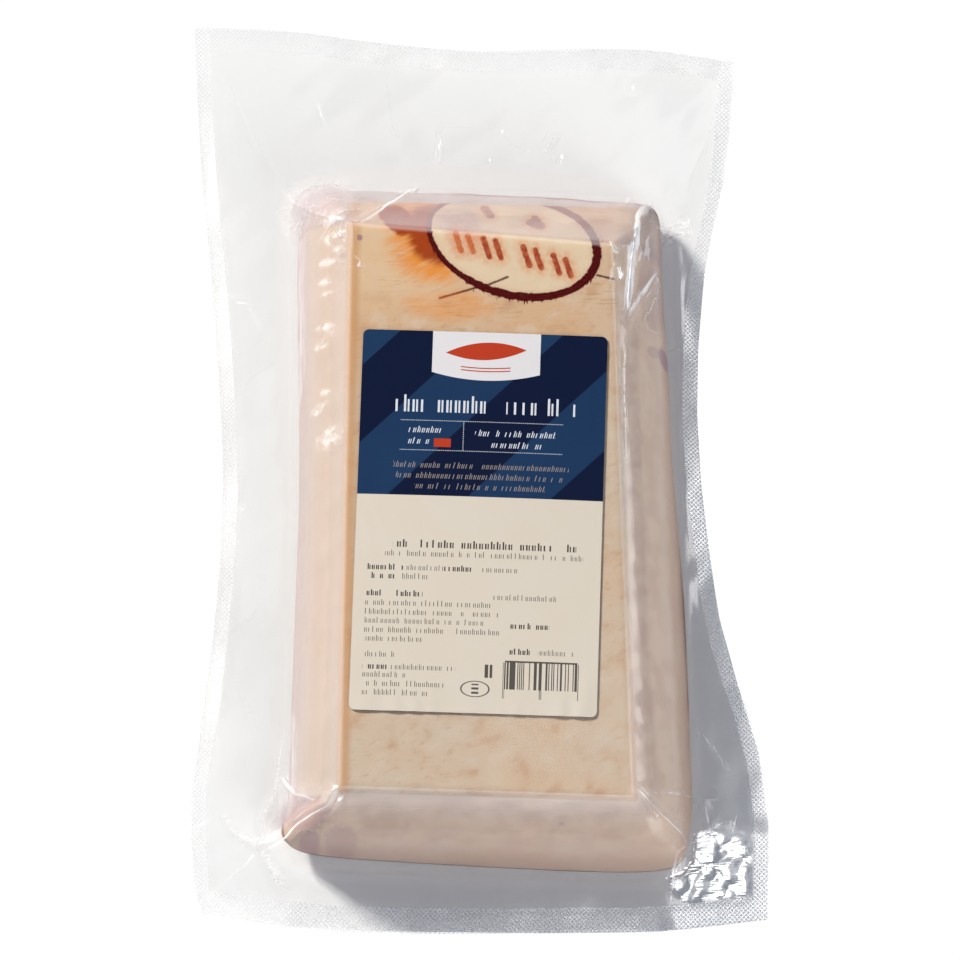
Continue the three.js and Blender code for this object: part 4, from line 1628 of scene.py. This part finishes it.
@dataclass(frozen=True)
class LabelFinish:
    """Coated paper: a dark blue field with lighter slanting bands over a cream one."""

    navy: Colour = NAVY
    light_navy: Colour = rgb("1b3556")
    cream: Colour = rgb("d2c6b4")
    tab: Colour = rgb("d8d4d6")
    white: Colour = WHITE
    red: Colour = rgb("b23a22")
    ink: Colour = INK
    navy_length: float = 58.4
    slant_period: float = 55.8
    slant_width: float = 28.5
    slant_start: float = -15.5
    tab_left: float = 24.0
    tab_right: float = 61.1
    tab_length: float = 14.6
    tab_belly: float = 2.6
    rules: tuple[float, float] = (31.9, 42.4)
    rule_span: Point = (14.0, 69.6)
    divider: float = 35.6
    barcode: tuple[float, float, float, float] = (52.4, 77.0, 116.2, 125.6)
    bar_width: float = 0.33
    guard_drop: float = 3.2
    rule_half: float = 0.13
    dot_pitch: float = 0.75
    edge_blur: float = 0.08
    roughness: float = 0.26
    specular: float = 0.08

    def build(self, width: float, length: float, centre: Point, turn: float) -> bpy.types.Material:
        """Builds the label's material.

        Args:
            width: The label's width.
            length: The label's length.
            centre: Its centre, (x, y).
            turn: Its turn, in degrees, counter-clockwise seen from above.

        Returns:
            The material.
        """
        s = Shader("label_paper")
        x, y, _ = s.axes
        off_u, off_v = turned(x, y, centre, turn)
        u, v = off_u + width / 2, length / 2 - off_v
        colour = self._fields(s, u, v)
        for block in TEXT_BLOCKS:
            colour = colour.over(block.mask(s, u, v) * block.strength, block.colour)
        colour = colour.over(self._rules(u, v), self.white)
        colour = colour.over(self._emblem(u, v), self.red)
        colour = colour.over(self._barcode(s, u, v).most(self._marks(u, v)) * 0.9, self.ink)
        fibres = s.noise(1.6, 4.0)
        surface = s.principled({
            "Base Color": colour, "Roughness": self.roughness + fibres * 0.08,
            "Specular IOR Level": self.specular, "Normal": s.bump(fibres, 0.03, 0.4)})
        return s.finish(surface)

    def _fields(self, s: Shader, u: Value, v: Value) -> Tint:
        """The blue and cream fields and the white tab."""
        slant = ((u + v - self.slant_start) / self.slant_period).fract()
        share, blur = self.slant_width / self.slant_period, 0.004
        light = slant.ease(0.0, blur) * slant.ease(share, share - blur)
        blue = s.mix(light * (0.75 + s.noise(30.0, 2.0) * 0.4), self.navy, self.light_navy)
        paper = s.mix(s.noise(20.0, 3.0) * 0.25, self.cream, self.tab)
        end, blur = self.navy_length, self.edge_blur
        colour = s.mix(v.ease(end + blur, end - blur), paper, blue)
        middle = (self.tab_left + self.tab_right) / 2
        half = (self.tab_right - self.tab_left) / 2
        across = (u - middle) / half
        belly = self.tab_length + (1.0 - across * across).most(0.0) * self.tab_belly
        tab = u.within(self.tab_left, self.tab_right) * (1.0 - (v - belly).above(0.0))
        return colour.over(tab, self.tab)

    def _rules(self, u: Value, v: Value) -> Value:
        """The dotted rules and the dotted divider."""
        dots = (u / self.dot_pitch).fract().above(0.4) * u.within(*self.rule_span)
        upper, lower = (abs(v - rule).above(self.rule_half) for rule in self.rules)
        across = (1.0 - upper.least(lower)) * dots
        upright = 1.0 - abs(u - self.divider).above(self.rule_half)
        upright = upright * (v / self.dot_pitch).fract().above(0.4)
        return across.most(upright * v.within(*self.rules)) * 0.75

    @staticmethod
    def _emblem(u: Value, v: Value) -> Value:
        """A plain slanting lens with two thin lines under it, and a patch in the blue field."""
        off_u, off_v = (u - 42.5) / 14.0, (v + u * 0.06 - 9.3) / 3.2
        bulge = (1.0 - off_u * off_u).most(0.0)
        lens = (bulge - abs(off_v)).ease(0.0, 0.04)
        lines = abs((v - 13.4 + off_u * off_u * 1.2) / 1.1)
        lines = abs(lines - 0.5).ease(0.22, 0.14) * u.within(34.0, 51.0)
        patch = u.within(25.6, 31.4) * v.within(38.2, 41.2)
        return lens.most(lines).most(patch)

    def _barcode(self, s: Shader, u: Value, v: Value) -> Value:
        """Plain bars of uneven width, with no code in them."""
        left, right, upper, lower = self.barcode
        inputs = {"W": ((u - left) / self.bar_width).floor()}
        drawn = s.node("ShaderNodeTexWhiteNoise", {"noise_dimensions": "1D"}, inputs)
        bars = Value(s, drawn.outputs["Value"]).above(0.5) * u.within(left, right)
        middle = (left + right) / 2
        guards = u.within(left - 0.6, left).most(u.within(right, right + 0.6))
        guards = guards.most(u.within(middle - 0.45, middle + 0.45)) * (u / 0.5).fract().above(0.5)
        cap = u.within(left, right) * v.within(upper - 0.6, upper)
        guards = guards * v.within(upper, lower + self.guard_drop)
        return (bars * v.within(upper, lower)).most(guards).most(cap)

    @staticmethod
    def _marks(u: Value, v: Value) -> Value:
        """A small oval outline and a small upright mark beside the bars."""
        ring = abs(oval(u, v, (42.5, 125.8), (4.75, 2.7)) - 1.0).ease(0.08, 0.03)
        rows = (v / 1.5).fract().above(0.5) * u.within(41.3, 43.7) * v.within(124.0, 127.9)
        post = u.within(45.6, 46.8).most(u.within(47.3, 48.2)) * v.within(117.2, 121.8)
        return ring.most(rows).most(post)


@dataclass
class PaperLabel:
    """The label stuck on the film over the flat top."""

    width: float = 84.0
    length: float = 134.2
    corner: float = 2.0
    centre: Point = (0.8, -27.0)
    turn: float = -1.9
    lift: float = 0.08
    thickness: float = 0.12
    columns: int = 56
    rows: int = 90
    corner_segments: int = 6
    smooth_angle: float = 40.0
    near_end: float = 22.0
    end_height: float = 0.22
    end_ripples: Ripples = Ripples(31, 9.0, 30.0, 1.0, spread=50.0)
    left_height: float = 0.12
    left_ripples: Ripples = Ripples(33, 7.0, 16.0, 1.0, heading=20.0, spread=30.0)
    finish: LabelFinish = field(default_factory=LabelFinish)

    def build(self) -> bpy.types.Object:
        """Builds the label and dresses it.

        Returns:
            The label's object.
        """
        bpy.ops.object.select_all(action="DESELECT")
        bpy.ops.mesh.primitive_plane_add(size=1)
        obj = bpy.context.object
        obj.name = obj.data.name = "paper_label"
        obj.scale = (self.width * MM, self.length * MM, 1.0)
        bpy.ops.object.transform_apply(location=False, rotation=False, scale=True)
        bpy.ops.object.mode_set(mode="EDIT")
        bpy.ops.mesh.select_all(action="SELECT")
        bpy.ops.mesh.bevel(offset=self.corner * MM, segments=self.corner_segments, affect="VERTICES")
        self._cut(self.columns, self.width, (1.0, 0.0, 0.0))
        self._cut(self.rows, self.length, (0.0, 1.0, 0.0))
        bpy.ops.object.mode_set(mode="OBJECT")
        solid = obj.modifiers.new("thickness", "SOLIDIFY")
        solid.thickness = self.thickness * MM
        solid.offset = 1.0
        bpy.ops.object.modifier_apply(modifier=solid.name)
        self._lay(obj)
        paper = self.finish.build(self.width, self.length, self.centre, self.turn)
        obj.data.materials.append(paper)
        smooth_faces(obj, self.smooth_angle)
        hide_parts("label")
        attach(obj, "root")
        return obj

    @staticmethod
    def _cut(count: int, span: float, normal: tuple[float, float, float]) -> None:
        """Cuts the flat sheet into equal strips, so that it can bend."""
        for k in range(1, count):
            off = (k / count - 0.5) * span * MM
            bpy.ops.mesh.select_all(action="SELECT")
            bpy.ops.mesh.bisect(plane_co=tuple(off * n for n in normal), plane_no=normal)

    def _lay(self, obj: bpy.types.Object) -> None:
        """Turns the flat label and lays it on the film."""
        u, v, height = (points_of(obj) / MM).T
        cos, sin = math.cos(math.radians(self.turn)), math.sin(math.radians(self.turn))
        x = self.centre[0] + u * cos - v * sin
        y = self.centre[1] + u * sin + v * cos
        near_end = ease(-v, self.length / 2 - self.near_end, self.length / 2)
        ripple = self.end_height * near_end * np.abs(self.end_ripples.at(x, y))
        left = ease(-np.abs(v + 4) / 14, -1, 0) * ease(-u, 8, 40)
        ripple += self.left_height * left * np.abs(self.left_ripples.at(x, y))
        z = FORM.top(x, y) + self.lift + ripple + height
        set_points(obj, np.column_stack([x, y, z]) * MM)


# ---- the studio ----


@dataclass(frozen=True)
class Lamp:
    """A square lamp that aims at the pouch.

    towards is the direction of the lamp from its aim, and seen_by_matt says whether it lights
    matt surfaces as well as showing in glossy ones.
    """

    name: str
    towards: Colour
    distance: float
    size: float
    power: float
    colour: Colour = (1.0, 1.0, 1.0)
    aim: Colour = (0.0, 0.0, 20.0)
    seen_by_matt: bool = True

    def build(self) -> None:
        """Adds the lamp."""
        data = bpy.data.lights.new(self.name, "AREA")
        data.shape = "SQUARE"
        data.size = self.size
        data.energy = self.power
        data.color = self.colour
        lamp = bpy.data.objects.new(self.name, data)
        way = Vector(self.towards).normalized()
        lamp.location = Vector(self.aim) * MM + way * self.distance
        lamp.rotation_euler = way.to_track_quat("Z", "Y").to_euler()
        lamp.visible_diffuse = self.seen_by_matt
        bpy.context.scene.collection.objects.link(lamp)


@dataclass
class Studio:
    """A pale floor, soft light from the back left and the camera above the front."""

    floor_size: float = 8.0
    floor_height: float = -0.3
    sheet_rise: float = 0.1
    sheet_shift: float = 1.3
    sheet_cells: int = 8
    floor_colour: Colour = (0.81, 0.81, 0.81)
    floor_glow: float = 1.05
    sky_colour: Colour = (0.74, 0.92, 1.28)
    sky_strength: float = 0.16
    backdrop: float = 1.0
    camera_distance: float = 2.25
    camera_elevation: float = 75.0
    camera_target: Colour = (1.1, -6.8, 20.0)
    lens: float = 244.6
    sensor_width: float = 36.0
    clip_end: float = 50.0
    lamps: tuple[Lamp, ...] = (
        Lamp("key", (-0.63, 0.61, 0.50), 4.0, 0.7, 256.0, (1.0, 0.972, 0.90)),
        Lamp("fill", (0.55, -0.62, 0.50), 2.2, 1.0, 14.0),
        Lamp("low_panel", (0.55, -0.80, 0.22), 2.2, 1.5, 16.0),
        Lamp("overhead", (0.0, 0.2588, 0.9659), 1.5, 1.2, 2.6, seen_by_matt=False),
        Lamp("hip_glint", (0.54, -0.73, 0.43), 2.0, 0.20, 6.0, seen_by_matt=False),
        Lamp("left_glint", (-0.36, 0.26, 0.89), 0.8, 0.16, 0.12, aim=(-80.0, -54.0, 8.0),
             seen_by_matt=False),
        Lamp("right_low", (0.80, 0.30, 0.48), 1.6, 0.50, 3.4, aim=(50.0, 70.0, 38.0),
             seen_by_matt=False),
        Lamp("left_low", (-0.75, 0.58, 0.20), 1.2, 0.30, 2.2, aim=(-50.0, 45.0, 36.0),
             seen_by_matt=False),
        Lamp("corner_glint", (-0.0353, 0.2009, 0.979), 0.35, 0.14, 0.21, aim=(86.0, -146.0, 7.0),
             seen_by_matt=False),
    )

    def build(self) -> None:
        """Builds the floor, the sky, the lamps and the camera."""
        self._floor()
        self._sky()
        for lamp in self.lamps:
            lamp.build()
        self._camera()
        scene = bpy.context.scene
        scene.view_settings.view_transform = "Standard"
        scene.cycles.diffuse_bounces = 2
        scene.cycles.glossy_bounces = 2
        scene.cycles.max_bounces = 4

    def _floor(self) -> None:
        """Adds a glowing white floor, and the pale sheet under the pouch that takes its shade."""
        bpy.ops.object.select_all(action="DESELECT")
        bpy.ops.mesh.primitive_plane_add(size=self.floor_size, location=(0, 0, self.floor_height * MM))
        floor = bpy.context.object
        floor.name = floor.data.name = "floor"
        s = Shader("floor_light")
        glow = s.node("ShaderNodeEmission", None, {"Strength": self.floor_glow})
        floor.data.materials.append(s.finish(glow.outputs[0]))
        shares = np.linspace(0, 1, self.sheet_cells + 1)[1:]
        steps = np.concatenate([[0.0], *(k + shares for k in range(5))])
        sheet, column, row = add_grid("floor_sheet", steps.size - 1, steps.size - 1)
        x, y = VacuumFilm().plan(steps[column], steps[row])
        height = np.full_like(x, self.floor_height + self.sheet_rise)
        set_points(sheet, np.column_stack([x, y + self.sheet_shift, height]) * MM)
        s = Shader("floor_paper")
        colour = s.mix(s.noise(2.0, 2.0) * 0.03, self.floor_colour, (0.8, 0.8, 0.8))
        surface = s.principled({"Base Color": colour, "Roughness": 0.9, "Specular IOR Level": 0.1})
        sheet.data.materials.append(s.finish(surface))

    def _sky(self) -> None:
        """Lights the scene evenly from all round, with a white backdrop for the camera."""
        world = bpy.data.worlds.new("sky")
        bpy.context.scene.world = world
        world.use_nodes = True
        tree = world.node_tree
        tree.nodes.clear()
        light, white = (tree.nodes.new("ShaderNodeBackground") for _ in range(2))
        light.inputs["Color"].default_value = (*self.sky_colour, 1.0)
        light.inputs["Strength"].default_value = self.sky_strength
        white.inputs["Strength"].default_value = self.backdrop
        path = tree.nodes.new("ShaderNodeLightPath")
        mix = tree.nodes.new("ShaderNodeMixShader")
        output = tree.nodes.new("ShaderNodeOutputWorld")
        tree.links.new(path.outputs["Is Camera Ray"], mix.inputs[0])
        tree.links.new(light.outputs[0], mix.inputs[1])
        tree.links.new(white.outputs[0], mix.inputs[2])
        tree.links.new(mix.outputs[0], output.inputs["Surface"])

    def _camera(self) -> None:
        """Adds the camera, aimed from above the front edge."""
        data = bpy.data.cameras.new("camera")
        data.lens = self.lens
        data.sensor_width = self.sensor_width
        data.clip_end = self.clip_end
        camera = bpy.data.objects.new("camera", data)
        tilt = math.radians(self.camera_elevation)
        away = Vector((0.0, -math.cos(tilt), math.sin(tilt)))
        camera.location = Vector(self.camera_target) * MM + away * self.camera_distance
        camera.rotation_euler = (math.pi / 2 - tilt, 0.0, 0.0)
        bpy.context.scene.collection.objects.link(camera)
        bpy.context.scene.camera = camera


def main() -> None:
    """Builds the pieces in order, reports each one and writes the two boxes."""
    logging.basicConfig(level=logging.INFO, format="%(name)s: %(message)s")
    for part in (PorkSlab(), VacuumFilm(), PaperLabel()):
        piece = part.build()
        piece.data.calc_loop_triangles()
        LOG.info("%s: %d triangles", piece.name, len(piece.data.loop_triangles))
    Studio().build()


if __name__ == "__main__":
    main()
